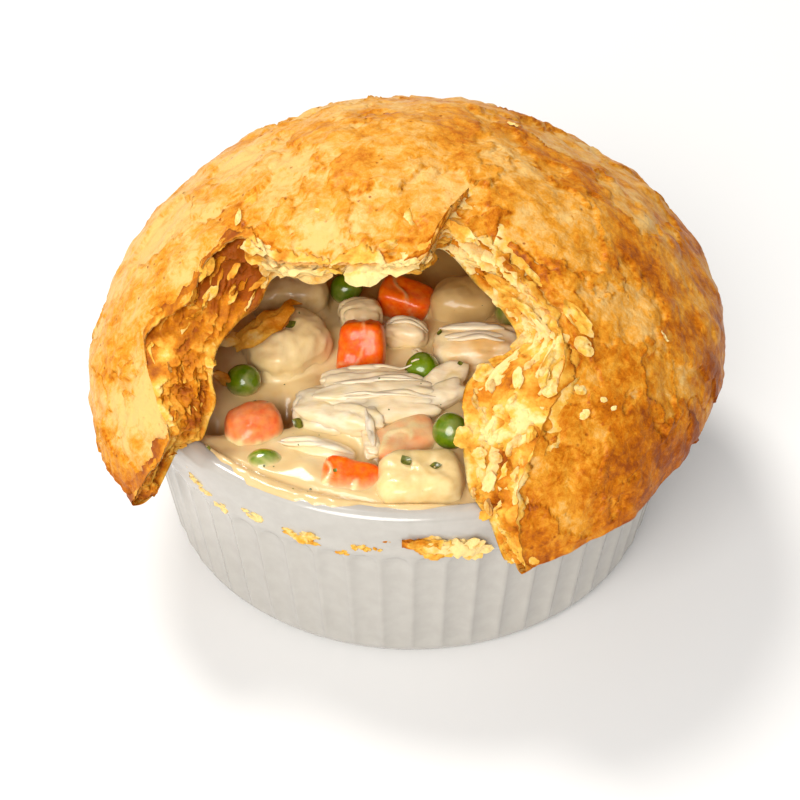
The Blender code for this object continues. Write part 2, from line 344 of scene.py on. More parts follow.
def porcelain_material():
    """White glaze with a faint speckle and ripple."""
    s = Shader("porcelain_glazed")
    speckle = s.noise(3.0, detail=3.0)
    colour = s.mix(s.remap(speckle, 0.35, 0.65), (0.418, 0.395, 0.358), (0.448, 0.425, 0.388))
    ripple = s.bump(s.noise(9.0, detail=1.0), 0.10, 0.6)
    s.set(Base_Color=colour, Roughness=0.22, Normal=ripple)
    return s.set(Coat_Weight=0.5, Coat_Roughness=0.08, Specular_IOR_Level=0.5)


SKIN_PALE = (0.76, 0.46, 0.145)
SKIN_GOLD = (0.68, 0.280, 0.020)
SKIN_ORANGE = (0.50, 0.140, 0.002)
SKIN_BROWN = (0.27, 0.055, 0.001)


def skin_material():
    """Glazed puff skin: pale to brown by the baked-in toast and by painted shade, mottled and pitted."""
    s = Shader("pastry_skin")
    mottle = s.remap(s.noise(6.0, detail=6.0, roughness=0.68, distortion=0.8), 0.34, 0.68, -0.19, 0.20)
    grain = s.remap(s.noise(1.8, detail=6.0, roughness=0.78, distortion=0.6), 0.32, 0.68, -0.24, 0.24)
    # This channel holds baked toast and also painted shade.
    shade = s.add(s.add(s.attribute("toast"), mottle), grain)
    colour = s.ramp(shade, (0.02, SKIN_PALE), (0.38, SKIN_GOLD), (0.68, SKIN_ORANGE), (0.98, SKIN_BROWN))
    pits = s.remap(s.voronoi(3.0), 0.05, 0.13)
    some = s.remap(s.noise(9.0), 0.46, 0.56)
    colour = s.mix(s.times(s.remap(pits, 0.0, 1.0, 0.8, 0.0), some, clamp=False), colour, SKIN_BROWN)
    rough = s.remap(s.noise(4.0, detail=3.0), 0.3, 0.7, 0.30, 0.52)
    fine = s.bump(s.noise(0.9, detail=5.0, roughness=0.65), 0.20, 0.9)
    blister = s.bump(s.noise(2.6), 0.50, 0.9, below=fine)
    s.set(Base_Color=colour, Roughness=rough, Normal=s.bump(pits, 0.22, 0.7, below=blister))
    return s.set(Coat_Weight=0.05, Coat_Roughness=0.16, Specular_IOR_Level=0.08)


def crumb_material(name, lift=0.0):
    """Torn pastry: cream where it is moist, through yellow to toasted brown, and darker where shade is
    painted in.
    """
    s = Shader(name)
    patch = s.remap(s.noise(4.0, roughness=0.6), 0.35, 0.68, -0.16 - lift, 0.20 - lift)
    grain = s.remap(s.noise(0.8, detail=3.0), 0.3, 0.7, -0.08, 0.08)
    # This channel holds toast and also painted shade in the torn face's gaps and hollows.
    shade = s.add(s.add(s.attribute("toast"), patch), grain)
    colour = s.ramp(shade, (0.05, (0.86, 0.62, 0.25)), (0.30, (0.80, 0.42, 0.055)),
                    (0.62, (0.58, 0.19, 0.004)), (0.95, (0.30, 0.065, 0.001)))
    fine = s.bump(s.noise(0.7, roughness=0.65), 0.20, 0.8)
    fine = s.bump(s.noise(2.2, detail=3.0), 0.35, 0.6, below=fine)
    s.set(Base_Color=colour, Roughness=0.55, Normal=fine, Specular_IOR_Level=0.15)
    return s.set(Subsurface_Weight=0.15, Subsurface_Scale=0.0015, Subsurface_Radius=(1.0, 0.5, 0.15))


# ---------------------------------------------------------------- ramekin

FLUTES = 56
FLUTE_DEPTH = 0.9
COLLAR_Z = 32.5
BASE_R = 51.0
FOOT_R = 47.8
INNER_R = 53.2  # inside of the wall at the rim
RIM_ROUND = 1.7


def wall_radius(height):
    """Radius of the dish's outer wall, which leans out from foot to rim."""
    return lerp(BASE_R, RIM_R, height / RIM_Z)


def make_dish():
    """The glazed dish, turned, with scalloped hollows between narrow ridges."""
    turn = circle(FLUTES * 12)
    from_middle = np.abs(2 * (turn * FLUTES / (2 * math.pi) % 1.0) - 1)
    foot = [(0.01, 1.6), (FOOT_R - 3.5, 1.6), (FOOT_R - 2.4, 1.2), (FOOT_R - 1.8, 0.25),
            (FOOT_R - 1.2, 0.0), (FOOT_R + 0.6, 0.0), (FOOT_R + 1.6, 0.35)]
    wall = []
    for height in np.linspace(1.2, COLLAR_Z + 2.0, 34):
        base_curl = 2.2 * np.clip(1 - height / 4.2, 0, 1) ** 2
        wall.append((wall_radius(height) - base_curl, height))
    wall.append((wall_radius(COLLAR_Z + 4), COLLAR_Z + 4))
    rim = [(RIM_R - 0.05, RIM_Z - 4.0)]
    for edge, way, leans in ((RIM_R, -1, np.linspace(0, 90, 7)), (INNER_R, 1, np.linspace(90, 0, 6))):
        for lean in np.radians(leans):
            rim.append((edge + way * RIM_ROUND * (1 - math.cos(lean)),
                        RIM_Z - RIM_ROUND * (1 - math.sin(lean))))
    inside = [(INNER_R - 0.2, 38.0), (INNER_R - 0.6, 30.0), (47.6, 9.0), (46.4, 6.2),
              (44.0, 5.0), (0.01, 5.0)]
    profile = np.array(foot + wall + rim + inside)
    radius, height = profile[:, :1], profile[:, 1:]
    row = np.arange(len(profile))[:, None]
    on_wall = (row >= len(foot)) & (row < len(foot) + len(wall))
    arch_top = COLLAR_Z - 2.6 * from_middle ** 2.5
    hollow = smoothstep(1.8, 4.5, height) * (1 - smoothstep(arch_top - 1.6, arch_top + 0.5, height))
    radius = radius - FLUTE_DEPTH * hollow * on_wall * (1 - from_middle ** 2.2)
    radius = radius + 0.25 * bell(height, COLLAR_Z + 0.6, 1.2) * on_wall
    faces = grid_faces(len(profile), len(turn), wrap=True)[:, ::-1]
    return add_piece("dish", "porcelain", ["ramekin"], porcelain_material(),
                     polar(radius, turn, height), faces)


# ---------------------------------------------------------------- crust surface

DOME_TOP = CRUST_TOP + 0.4
THICKNESS = 7.0  # of the crust, in mm
SLACK = 0.56  # how much flatter than a ball the dome is
RIM_GAP, SKIRT_GAP = 0.35, 0.7  # between the crust and the dish, above the rim and outside it


def hem_radius(turn):
    """Radius of the crust's lowest edge at an angle."""
    return (66.1 - 0.4 * np.cos(turn) - 1.3 * np.sin(turn)
            - 1.4 * np.cos(2 * turn) + 1.7 * np.sin(2 * turn))


def hem_height(turn):
    """Height of the crust's lowest edge at an angle."""
    return (38.6 + 1.6 * np.cos(turn) + 1.8 * np.sin(turn)
            + 2.6 * np.cos(2 * turn) - 3.0 * np.sin(2 * turn))


def outer_profile(turn, down, inset=0.0):
    """Radius and height of the dome, from its top (down is 0) to its hem (1)."""
    lean, bottom = down * math.pi / 2, hem_height(turn)
    radius = (hem_radius(turn) - inset) * np.sin(lean) ** (1 + SLACK * np.sin(lean))
    return radius, bottom + (DOME_TOP - inset - bottom) * np.cos(lean)


SEAT_DOWN, SKIRT_DOWN = 0.85, 0.89  # where the underside meets the rim and leaves it


def inner_profile(turn, down):
    """The underside: domed, then flat on the rim, then down inside the skirt."""
    radius, height = outer_profile(turn, np.minimum(down, SEAT_DOWN), THICKNESS)
    radius = radius - 4.6 * smoothstep(0.60, SEAT_DOWN, down)
    height = np.maximum(height, RIM_Z + RIM_GAP)
    height = lerp(height, RIM_Z + RIM_GAP, smoothstep(SEAT_DOWN - 0.08, SEAT_DOWN, down))
    radius = lerp(radius, RIM_R + SKIRT_GAP, smoothstep(SEAT_DOWN, SKIRT_DOWN, down))
    fall = smoothstep(SKIRT_DOWN, 1.0, down)
    radius = lerp(radius, np.maximum(hem_radius(turn) - 4.5, RIM_R + SKIRT_GAP), fall)
    return radius, lerp(height, np.minimum(hem_height(turn), RIM_Z), fall)


def crust_point(disc, depth):
    """The point of the crust over a spot on the unit disc, from skin (0) to underside (1)."""
    turn = np.arctan2(disc[..., 1], disc[..., 0])
    down = np.clip(np.hypot(disc[..., 0], disc[..., 1]), 1e-4, 1)
    (outer_r, outer_z), (inner_r, inner_z) = outer_profile(turn, down), inner_profile(turn, down)
    return polar(lerp(outer_r, inner_r, depth), turn, lerp(outer_z, inner_z, depth))


# Torn edge as (azimuth, distance down the dome) of the skin and of the underside
TEAR_EDGE = [
    # left side, up from the hem
    (-141, 1.00, -140, 1.00),
    (-138, 0.91, -138, 0.87),
    (-135, 0.79, -135, 0.73),
    (-142, 0.74, -138, 0.68),
    (-154, 0.69, -141, 0.62),
    (-150, 0.58, -141, 0.55),
    (-157, 0.51, -139, 0.50),
    (-155, 0.43, -142, 0.44),
    # top, from left to right
    (-137, 0.41, -136, 0.39),
    (-119, 0.37, -120, 0.34),
    (-104, 0.35, -106, 0.31),
    (-88, 0.34, -86, 0.31),
    (-80, 0.27, -79, 0.27),
    (-74, 0.25, -72, 0.30),
    # right side, down to the hem
    (-64, 0.32, -67, 0.38),
    (-56, 0.44, -62, 0.47),
    (-54, 0.56, -63, 0.54),
    (-61, 0.64, -78, 0.58),
    (-70, 0.73, -80, 0.67),
    (-74, 0.82, -80, 0.80),
    (-73, 1.00, -75, 1.00),
]
TOP_START, TOP_END = 7, 13  # places in the list where the top edge starts and ends
EDGE_SAMPLES = 600
DISC_MM = 66.0  # about how many millimetres one unit of the disc is


def disc_spot(azimuth, down):
    """A spot on the unit disc that lies flat under the dome."""
    return polar(down, np.radians(azimuth), 0.0)[..., :2]


KNOT_STEPS = 24  # points of the curve from one knot to the next


def spline(knots, count):
    """Points evenly along a smooth curve through the knots, and each knot's place on it."""
    padded = np.vstack([2 * knots[0] - knots[1], knots, 2 * knots[-1] - knots[-2]])
    share = np.linspace(0, 1, KNOT_STEPS, endpoint=False)[:, None]
    pieces = []
    for a, b, c, d in zip(padded, padded[1:], padded[2:], padded[3:]):
        pieces.append(0.5 * (2 * b + (c - a) * share + (2 * a - 5 * b + 4 * c - d) * share ** 2
                             + (3 * b - a - 3 * c + d) * share ** 3))
    curve = np.vstack(pieces + [knots[-1:]])
    run = np.concatenate([[0], np.cumsum(np.linalg.norm(np.diff(curve[:, :2], axis=0), axis=1))])
    even = np.linspace(0, run[-1], count)
    return np.stack([np.interp(even, run, line) for line in curve.T], -1), run[::KNOT_STEPS] / run[-1]


def tear_lines():
    """The torn edge of the skin and of the underside on the disc, and each knot's share of the way."""
    knots = np.array([[*disc_spot(*knot[:2]), *disc_spot(*knot[2:])] for knot in TEAR_EDGE])
    curve, places = spline(knots, EDGE_SAMPLES)
    return curve[:, :2], curve[:, 2:], places


OUTER_EDGE, INNER_EDGE, EDGE_PLACES = tear_lines()
EDGE_SHARE = np.linspace(0, 1, EDGE_SAMPLES)
EDGE_MM = EDGE_SHARE * np.sum(np.linalg.norm(np.diff(OUTER_EDGE, axis=0), axis=1)) * DISC_MM
TOP_FROM, TOP_TO = EDGE_PLACES[TOP_START], EDGE_PLACES[TOP_END]
ON_RIGHT = smoothstep(TOP_TO - 0.02, TOP_TO + 0.02, EDGE_SHARE)
ON_LEFT = 1 - smoothstep(TOP_FROM - 0.02, TOP_FROM + 0.02, EDGE_SHARE)
ON_TOP = (1 - ON_LEFT) * (1 - ON_RIGHT)
# CORNER also darkens the torn face and its layers there, as painted shade in the hollow.
CORNER = bell(EDGE_SHARE, TOP_FROM - 0.045, 0.04)  # the hollow at the tear's left corner
# Where the rows behind each spot of the torn edge end, round the far hem
FAR_SPOTS = disc_spot(-141 - 292 * EDGE_SHARE, 1.0)


def into_crust(depth, back_mm):
    """Spots that lie back_mm behind the torn edge at a depth, inside the pastry."""
    edge = lerp(OUTER_EDGE, INNER_EDGE, depth)
    way = FAR_SPOTS - edge
    length = np.maximum(np.linalg.norm(way, axis=-1, keepdims=True), 1e-6)
    return edge + way / length * np.minimum(back_mm[..., None] / DISC_MM, length)


# Places where the top skin has peeled: azimuth, distance down the dome, radius in mm
PEELS = [
    (-26, 0.36, 13.0), (-62, 0.20, 8.0), (-100, 0.22, 8.5), (-165, 0.34, 6.0), (35, 0.45, 10.0),
    (120, 0.50, 12.0), (178, 0.62, 8.0), (-38, 0.78, 6.0), (75, 0.75, 9.0),
]


def skin_relief(points):
    """Height of the skin's lumps, blisters and peeled patches, and how much paler each spot is."""
    swell = 1.0 * noise(points, 26.0, 3) + 0.6 * noise(points, 12.0, 5) + 0.35 * noise(points, 6.0, 8)
    gap, own = cells(points, 6.5, 21)
    blister = np.clip(1 - (gap / 0.52) ** 2, 0, None) * (own > 0.55) * 0.55
    wrinkle = 0.22 * fbm(points, 2.6, 3, 31)
    field = fbm(points, 19.0, 5, 41, 0.58)
    wander = 4.5 * fbm(points, 9.0, 4, 45, 0.6)
    reach = np.full(points.shape[:-1], -9.0)
    for azimuth, down, radius in PEELS:
        centre = crust_point(disc_spot(azimuth, down), 0.0)
        reach = np.maximum(reach, radius - np.linalg.norm(points - centre, axis=-1) + wander)
    peeled = np.maximum(smoothstep(-0.25, 0.25, reach), smoothstep(0.245, 0.26, field))
    lip = np.clip(bell(reach, 0.1, 0.35) + bell(field, 0.25, 0.012), 0, 1)
    crease = np.clip(1 - np.abs(fbm(points, 22.0, 4, 51)) / 0.022, 0, 1)
    crease = crease * smoothstep(0.0, 0.3, noise(points, 15.0, 55))
    relief = swell + blister + wrinkle + 0.35 * bell(reach, -0.7, 0.6) - 0.55 * peeled - 0.35 * crease
    return relief, 0.20 * peeled - 0.26 * lip - 0.35 * crease


def skin_toast_and_shade(points, disc):
    """How brown the skin is baked, with painted shade: more on blisters and at the hem, and down the right
    side and low on the right partly from baking and partly as painted shade.
    """
    x, y = disc[..., 0], disc[..., 1]
    down, turn = np.hypot(x, y), np.degrees(np.arctan2(y, x))
    # Browner down the right side: partly baking, partly painted shade where the light falls off.
    side = smoothstep(-0.2, 1.0, x * 0.8 - y * 0.35)
    blotch = fbm(points, 13.0, 4, 61, 0.55)
    spots = np.clip(noise(points, 5.0, 71), 0, 1)
    # Browner low on the right: partly baking, partly painted shade.
    low_right = bell(turn, -48, 26) * smoothstep(0.55, 0.95, down)
    low_left = bell(turn, -145, 12) * smoothstep(0.85, 1.0, down)
    above = bell(x, 0.05, 0.45) * bell(y, -0.1, 0.5)
    toast = 0.20 + 0.43 * side + 0.20 * above + 0.26 * blotch + 0.14 * spots + 0.35 * low_left
    return toast + 0.16 * low_right + 0.16 * smoothstep(0.93, 1.0, down)


# Steps of the split skin beside the tear: distance in mm, drop, and how strong on left, top and right
SKIN_STEPS = [
    (0.9, 0.25, 0.5, 1.0, 0.8),
    (1.9, 0.35, 0.0, 0.9, 1.0),
    (3.1, 0.40, 0.3, 0.3, 1.0),
    (4.6, 0.45, 0.0, 0.8, 1.0),
]


def skin_steps(points, away):
    """How far the skin lies below its full height by the tear, and the risers between layers."""
    ridge = bell(EDGE_SHARE, TOP_TO + 0.09, 0.11)
    drop, riser = 0 * away, 0 * away
    for number, (distance, depth, left, top, right) in enumerate(SKIN_STEPS):
        strength = left * ON_LEFT + top * ON_TOP + right * np.maximum(ridge, 0.25 * ON_RIGHT)
        reach = distance * (1 + 0.25 * ridge) + 1.3 * noise(points, 5.0, 181 + number)
        reach = reach + 0.5 * noise(points, 1.6, 191 + number)
        drop = drop + depth * strength * (1 - smoothstep(reach - 0.12, reach + 0.12, away))
        riser = riser + strength * bell(away, reach, 0.28)
    return drop, np.clip(riser, 0, 1)


SKIN_EDGE = ragged(EDGE_MM, 101, 1.5)  # how far the skin is torn back, in mm
SKIN_ROWS = 158
HEM_ROWS = 7


def make_skin():
    """The whole outer skin from the torn edge to the hem, turned under at the hem."""
    share = np.linspace(0, 1, SKIN_ROWS)[:, None] ** 1.12
    first = into_crust(0.0, SKIN_EDGE)
    disc = lerp(first, FAR_SPOTS, share[..., None])
    body = crust_point(disc, 0.0)
    relief, paler = skin_relief(body)
    away = np.linalg.norm(disc - first, axis=-1) * DISC_MM
    drop, riser = skin_steps(body, away)
    height = relief * smoothstep(0.0, 0.03, share) - drop
    points = body + grid_normals(body) * height[..., None]
    toast = skin_toast_and_shade(body, disc) - paler + 0.32 * riser - 0.14 * np.exp(-away / 2.0)
    depth = np.linspace(0, 1, HEM_ROWS + 1)[1:, None]
    under = crust_point(FAR_SPOTS[None], depth) + (points[-1] - body[-1]) * (1 - depth[..., None]) ** 2
    under[..., 2] -= 1.1 * np.sin(np.pi * depth) * (0.7 + 0.3 * line_noise(EDGE_MM, 7, 111))
    return add_piece("crust_skin", "pastry", ["crust"], skin_material(),
                     np.concatenate([points, under]),
                     grid_faces(SKIN_ROWS + HEM_ROWS, EDGE_SAMPLES),
                     {"toast": np.concatenate([toast, toast[-1] - 0.10 - 0.3 * depth])})


FACE_ROWS = 56
UNDER_ROWS = 34


def face_back(depth, points):
    """How far the torn face lies behind the tear's line, and each crumb's own number."""
    layer = depth * 8 + 1.1 * noise(points, 8.0, 121)
    ledge = (layer % 1.0 - 0.5) * lerp(0.9, 0.25, ON_LEFT)
    hollow = 2.4 * fbm(points, 8.0, 3, 131) + 0.8 * fbm(points, 2.4, 3, 141)
    gap, own = cells(points, 2.9, 145)
    crumb = (0.9 * own + 0.5 * gap ** 2) * lerp(0.6, 1.1, ON_LEFT)
    fine = 0.9 * np.abs(noise(points, 1.7, 147)) + 0.5 * np.abs(noise(points, 0.8, 148))
    return np.clip(1.2 + ledge + hollow + crumb + fine + 2.4 * CORNER, 0.2, None), own


def make_inside():
    """The torn face between skin and underside, and the whole underside of the crust."""
    depth = np.linspace(0, 1, FACE_ROWS)[:, None]
    line = crust_point(lerp(OUTER_EDGE, INNER_EDGE, depth[..., None]), depth)
    back, own = face_back(depth, line)
    joined = smoothstep(0, 0.05, depth) * (1 - smoothstep(0.96, 1.0, depth))
    back = lerp(lerp(SKIN_EDGE, 0.8, depth), back, joined)
    disc = into_crust(depth[..., None], back)
    face = crust_point(disc, depth)
    # Darker the further back the torn face lies, as painted shade in its gaps; darker on the left, partly
    # toast and partly painted shade; darker in the left corner's hollow, as painted shade.
    face_toast_and_shade = 0.12 + 0.42 * fbm(face, 6.0, 3, 151) + 0.09 * back + 0.12 * own
    face_toast_and_shade = face_toast_and_shade + 0.29 * ON_LEFT + 0.28 * CORNER + 0.04 * ON_RIGHT
    share = np.linspace(0, 1, UNDER_ROWS + 1)[1:, None, None]
    under = crust_point(lerp(disc[-1], FAR_SPOTS, share), 1.0)
    bumps = 0.8 * noise(under, 9.0, 161) + 0.3 * noise(under, 3.0, 163)
    under[..., 2] -= bumps * smoothstep(RIM_Z + 3, RIM_Z + 10, under[..., 2])
    under_toast = 0.42 + 0.25 * fbm(under, 9.0, 3, 171)
    return add_piece("crust_inside", "pastry_pale", [], crumb_material("pastry_crumb"),
                     np.concatenate([face, under]),
                     grid_faces(FACE_ROWS + UNDER_ROWS, EDGE_SAMPLES)[:, ::-1],
                     {"toast": np.concatenate([face_toast_and_shade, under_toast])})


LAYERS = 11
SHEET_ROWS = 6
SHEET_REACH = 5.0  # how deep each sheet is rooted in the crumb, in mm


def make_layers():
    """Thin torn layers that stand out of the torn face, each with its own ragged edge."""
    parts = []
    smooth_right = smoothstep(TOP_TO + 0.16, TOP_TO + 0.22, EDGE_SHARE)
    reach = np.linspace(SHEET_REACH, 0.0, SHEET_ROWS)
    for layer in range(LAYERS):
        level = 0.12 + 0.84 * (layer + 0.35) / LAYERS
        edge = ragged(EDGE_MM, 200 + 5 * layer, 2.6) - 0.5 + 1.5 * ON_LEFT + 1.1 * smooth_right
        gone = smoothstep(-0.10, 0.15, line_noise(EDGE_MM, 9.0, 300 + layer) + 0.22 * ON_LEFT)
        edge = edge + 2.6 * CORNER + 5.0 * gone
        lift = 0.10 * line_noise(EDGE_MM, 5.0, 400 + layer) + 0.02
        ripple = 0.03 * line_noise(EDGE_MM, 1.7, 500 + layer)
        # Darker on the left, partly toast and partly painted shade, and in the corner's hollow as painted
        # shade; each sheet also darkens further back into the crumb, as painted shade in the gaps.
        shade = 0.14 + 0.25 * line_noise(EDGE_MM, 6.0, 600 + layer) + 0.28 * ON_LEFT + 0.25 * CORNER
        sheet, toast = [], []
        for side, backs in ((-1, reach), (1, reach[::-1])):
            for back in backs:
                thin = 0.030 * (0.25 + 0.75 * min(1.0, back / 1.2))
                depth = level + lift * np.exp(-back / 1.6) + ripple * (back < 3) + side * thin
                sheet.append(crust_point(into_crust(level, edge + back), np.clip(depth, -0.16, 1.1)))
                toast.append(shade + 0.05 * back)
        rows = len(sheet)
        faces = grid_faces(rows + 1, EDGE_SAMPLES) % (rows * EDGE_SAMPLES)  # the last row meets the first
        parts.append((np.stack(sheet), faces, {"toast": np.stack(toast)}))
    return add_parts("crust_layers", "pastry_pale", [], crumb_material("pastry_layers", 0.05), parts)


FLAKE_RINGS, FLAKE_SPOKES = 6, 20


def flake(centre, along, out, length, width, curl, thick, seed):
    """A thin ragged flake: its outline is torn, it curls, and its two sides meet at the edge."""
    turn = circle(FLAKE_SPOKES)
    rim = 1 + 0.22 * line_noise(turn * 3.0, 2.2, seed) + 0.24 * np.abs(line_noise(turn * 9.0, 2.0, seed + 1))
    reach = np.linspace(0.02, 1, FLAKE_RINGS)[:, None]
    u, v = reach * rim * np.cos(turn), reach * rim * np.sin(turn)
    bend = curl * (0.9 * v ** 2 + 0.5 * u * v + 0.4 * u ** 2)
    bend = bend + 0.12 * length * flat_noise(u * 2, v * 2, 1.0, seed + 2)
    flat = centre + u[..., None] * along * length / 2 + v[..., None] * out * width / 2
    half = thick * np.sqrt(np.clip(1.02 - reach, 0, 1))
    sides = np.stack([flat + (bend + way * half)[..., None] * np.cross(along, out) for way in (1, -1)])
    faces = grid_faces(FLAKE_RINGS, FLAKE_SPOKES, wrap=True)
    return sides.reshape(-1, 3), np.concatenate([faces, faces[:, ::-1] + FLAKE_RINGS * FLAKE_SPOKES])


def tear_frame(place, depth, back):
    """A point on the torn edge, and unit vectors along the tear and into the opening."""
    line, behind = (crust_point(into_crust(depth, np.full(EDGE_SAMPLES, more)), depth)
                    for more in (back, back + 1.5))
    along = unit(line[min(place + 2, EDGE_SAMPLES - 1)] - line[max(place - 2, 0)])
    out = line[place] - behind[place]
    return line[place], along, unit(out - along * (out @ along))


# Flakes of the torn edge: how many, from and to along the tear, depths, lengths, widths,
# droop in degrees, how toasted, and how far back from the edge in mm
FLAKE_BANDS = [
    (13, TOP_FROM + 0.02, TOP_TO - 0.07, (0.05, 0.50), (5.0, 11.0), (3.5, 6.0),
     (0, 45), (0.00, 0.28), (-0.5, 1.4)),
    (26, TOP_FROM + 0.00, TOP_TO - 0.04, (0.20, 0.90), (2.0, 5.0), (1.5, 4.0),
     (5, 60), (0.02, 0.35), (0.0, 2.0)),
    (16, TOP_TO - 0.10, TOP_TO + 0.05, (0.30, 1.00), (2.0, 5.0), (1.2, 3.2),
     (-30, 50), (0.30, 0.70), (0.4, 3.0)),
    (14, TOP_TO + 0.02, TOP_TO + 0.20, (0.05, 0.90), (3.5, 8.5), (1.2, 3.0),
     (-25, 25), (0.02, 0.40), (0.3, 2.4)),
    (26, TOP_TO + 0.18, 0.97, (0.02, 1.00), (1.8, 5.0), (1.2, 3.4),
     (-50, 50), (-0.02, 0.34), (0.4, 2.8)),
    (34, 0.03, TOP_FROM, (0.02, 1.00), (1.4, 4.4), (1.0, 3.2),
     (-75, 75), (0.18, 0.72), (0.6, 3.2)),
]


def make_flakes():
    """Loose flakes of pastry all along the torn edge."""
    parts = []
    for count, start, end, depths, lengths, widths, tilts, toasts, backs in FLAKE_BANDS:
        for _ in range(count):
            place = int(RANDOM.uniform(start, end) * (EDGE_SAMPLES - 1))
            depth = RANDOM.uniform(*depths)
            centre, along, out = tear_frame(place, depth, RANDOM.uniform(*backs))
            tilt = math.radians(RANDOM.uniform(*tilts))
            swing = math.radians(RANDOM.uniform(-35, 35))
            along, across = (along * math.cos(swing) + out * math.sin(swing),
                             out * math.cos(swing) - along * math.sin(swing))
            across = across * math.cos(tilt) - np.cross(along, across) * math.sin(tilt)
            width = RANDOM.uniform(*widths)
            points, faces = flake(centre, along, across, RANDOM.uniform(*lengths), width,
                                  RANDOM.uniform(-0.3, 0.5), RANDOM.uniform(0.10, 0.22), len(parts) * 5)
            toast = RANDOM.uniform(*toasts) + 0.12 * noise(points, 1.5, 651)
            parts.append((points, faces, {"toast": toast}))
    return add_parts("crust_flakes", "pastry_pale", [], crumb_material("pastry_flakes"), parts)


# Loose flakes lying on the skin: x, y, length, width, turn, toast
SKIN_FLAKES = [
    (30, -33, 8.0, 3.2, -52, 0.26), (31, -37, 4.2, 3.0, -40, 0.22), (47, -28, 2.6, 0.9, -50, 0.02),
    (30.2, -43.6, 2.4, 2.0, 10, 0.10), (34.5, -44.2, 1.3, 1.0, 0, 0.0), (36.4, -44.8, 1.2, 0.8, 40, 0.0),
    (31, -47, 2.2, 1.6, 60, 0.16), (22, -27, 5.0, 1.4, -50, 0.24), (-4, -24, 4.5, 1.6, 15, 0.24),
    (-33, -9, 3.0, 1.2, 60, 0.26), (20, 16, 2.4, 1.2, -20, 0.28), (-20, 26, 2.4, 1.2, 75, 0.24),
]


def make_skin_flakes(skin):
    """Thin flakes that have come loose and lie on the top of the crust."""
    tree = surface_tree([skin])
    parts = []
    for number, (x, y, length, width, turn, toast) in enumerate(SKIN_FLAKES):
        place, normal = drop_on(tree, x, y)
        if place is None:
            continue
        along = lie_on(normal, turn)
        points, faces = flake(place + 0.35 * normal, along, np.cross(normal, along), length, width,
                              -0.12, 0.14, 640 + 3 * number)
        parts.append((points, faces, {"toast": toast + 0.15 * noise(points, 1.8, 661)}))
    return add_parts("skin_flakes", "pastry", [], crumb_material("pastry_loose"), parts)


# ---------------------------------------------------------------- filling

def shade_under_crust(s, most):
    """Painted shade under the crust: 0 in the open front of the filling, rising to most at the back and
    right under the crust.
    """
    split = s.node("ShaderNodeSeparateXYZ", {0: s.coordinates})
    slant = s.add(split.outputs["Y"], s.times(split.outputs["X"], 0.35, clamp=False))
    return s.times(s.remap(slant, -0.003, 0.010), most)


def sauce_colour(s):
    """The cream sauce with its soft yellow drift and fine pepper, browner under the crust as painted shade.
    """
    drift = s.remap(s.noise(8.0, detail=3.0), 0.3, 0.7)
    colour = s.mix(drift, (0.87, 0.71, 0.40), (0.83, 0.61, 0.28))
    # Painted shade: the sauce darkens towards the back, under the crust.
    colour = s.mix(shade_under_crust(s, 0.85), colour, (0.50, 0.27, 0.055))
    speck = s.times(s.remap(s.voronoi(2.6), 0.055, 0.035), s.remap(s.noise(6.0), 0.5, 0.56))
    return s.mix(s.times(speck, 0.7), colour, (0.10, 0.07, 0.03))


def wet(s, gloss=0.55):
    """Light goes a little way into food, and the sauce on it shines."""
    s.set(Subsurface_Weight=0.35, Subsurface_Scale=0.0016, Subsurface_Radius=(1.0, 0.75, 0.45))
    return s.set(Coat_Weight=gloss, Coat_Roughness=0.10, Specular_IOR_Level=0.25)


def sauce_material():
    """The sauce: thinner by the wall and darker there, partly as painted shade, and with painted shade in
    the hollows between the lumps.
    """
    s = Shader("cream_sauce_gloss")
    # Darker towards the wall: partly a thinner film, partly painted shade.
    colour = s.mix(s.times(s.attribute("thin"), 0.8), sauce_colour(s), (0.62, 0.43, 0.20))
    # Painted shade in the hollows between the lumps.
    colour = s.mix(s.attribute("pit_shade"), colour, (0.30, 0.12, 0.015))
    s.set(Base_Color=colour, Roughness=0.30, Normal=s.bump(s.noise(1.8, detail=3.0), 0.10, 0.6))
    return wet(s)


def chunk_material(name, deep, light, bump=0.15, grain=1.6, stretch=None, rough=0.34, shaded_under_crust=False,
                   gloss=0.35):
    """A cooked lump whose own colour fades to sauce where its coat is thick; it can take painted shade under
    the crust.
    """
    s = Shader(name)
    own = s.mix(s.remap(s.noise(grain, stretch=stretch), 0.32, 0.68), deep, light)
    # Painted shade: the lump darkens towards the back, under the crust.
    if shaded_under_crust:
        own = s.mix(shade_under_crust(s, 0.8), own, (0.56, 0.30, 0.065))
    own = s.mix(s.attribute("sear"), own, (0.80, 0.44, 0.10))
    veil = s.add(s.attribute("coat"), s.remap(s.noise(2.2, detail=3.0), 0.3, 0.7, -0.10, 0.10), clamp=True)
    s.set(Base_Color=s.mix(veil, own, sauce_colour(s)), Roughness=rough)
    s.set(Normal=s.bump(s.noise(grain * 0.8, stretch=stretch), bump, 0.6))
    return wet(s, gloss)


def turned(points, turn):
    """Points turned about X, then Y, then Z by degrees."""
    for axis, angle in enumerate(turn):
        sine, cosine = math.sin(math.radians(angle)), math.cos(math.radians(angle))
        a, b = [(1, 2), (2, 0), (0, 1)][axis]
        out = points.copy()
        out[..., a] = points[..., a] * cosine - points[..., b] * sine
        out[..., b] = points[..., a] * sine + points[..., b] * cosine
        points = out
    return points


def ball_grid(rows, columns):
    """Directions over a ball as a wrapped grid, and its faces."""
    lean = np.linspace(0.001, math.pi - 0.001, rows)[:, None]
    return (polar(np.sin(lean), circle(columns), np.cos(lean)),
            grid_faces(rows, columns, wrap=True)[:, ::-1])


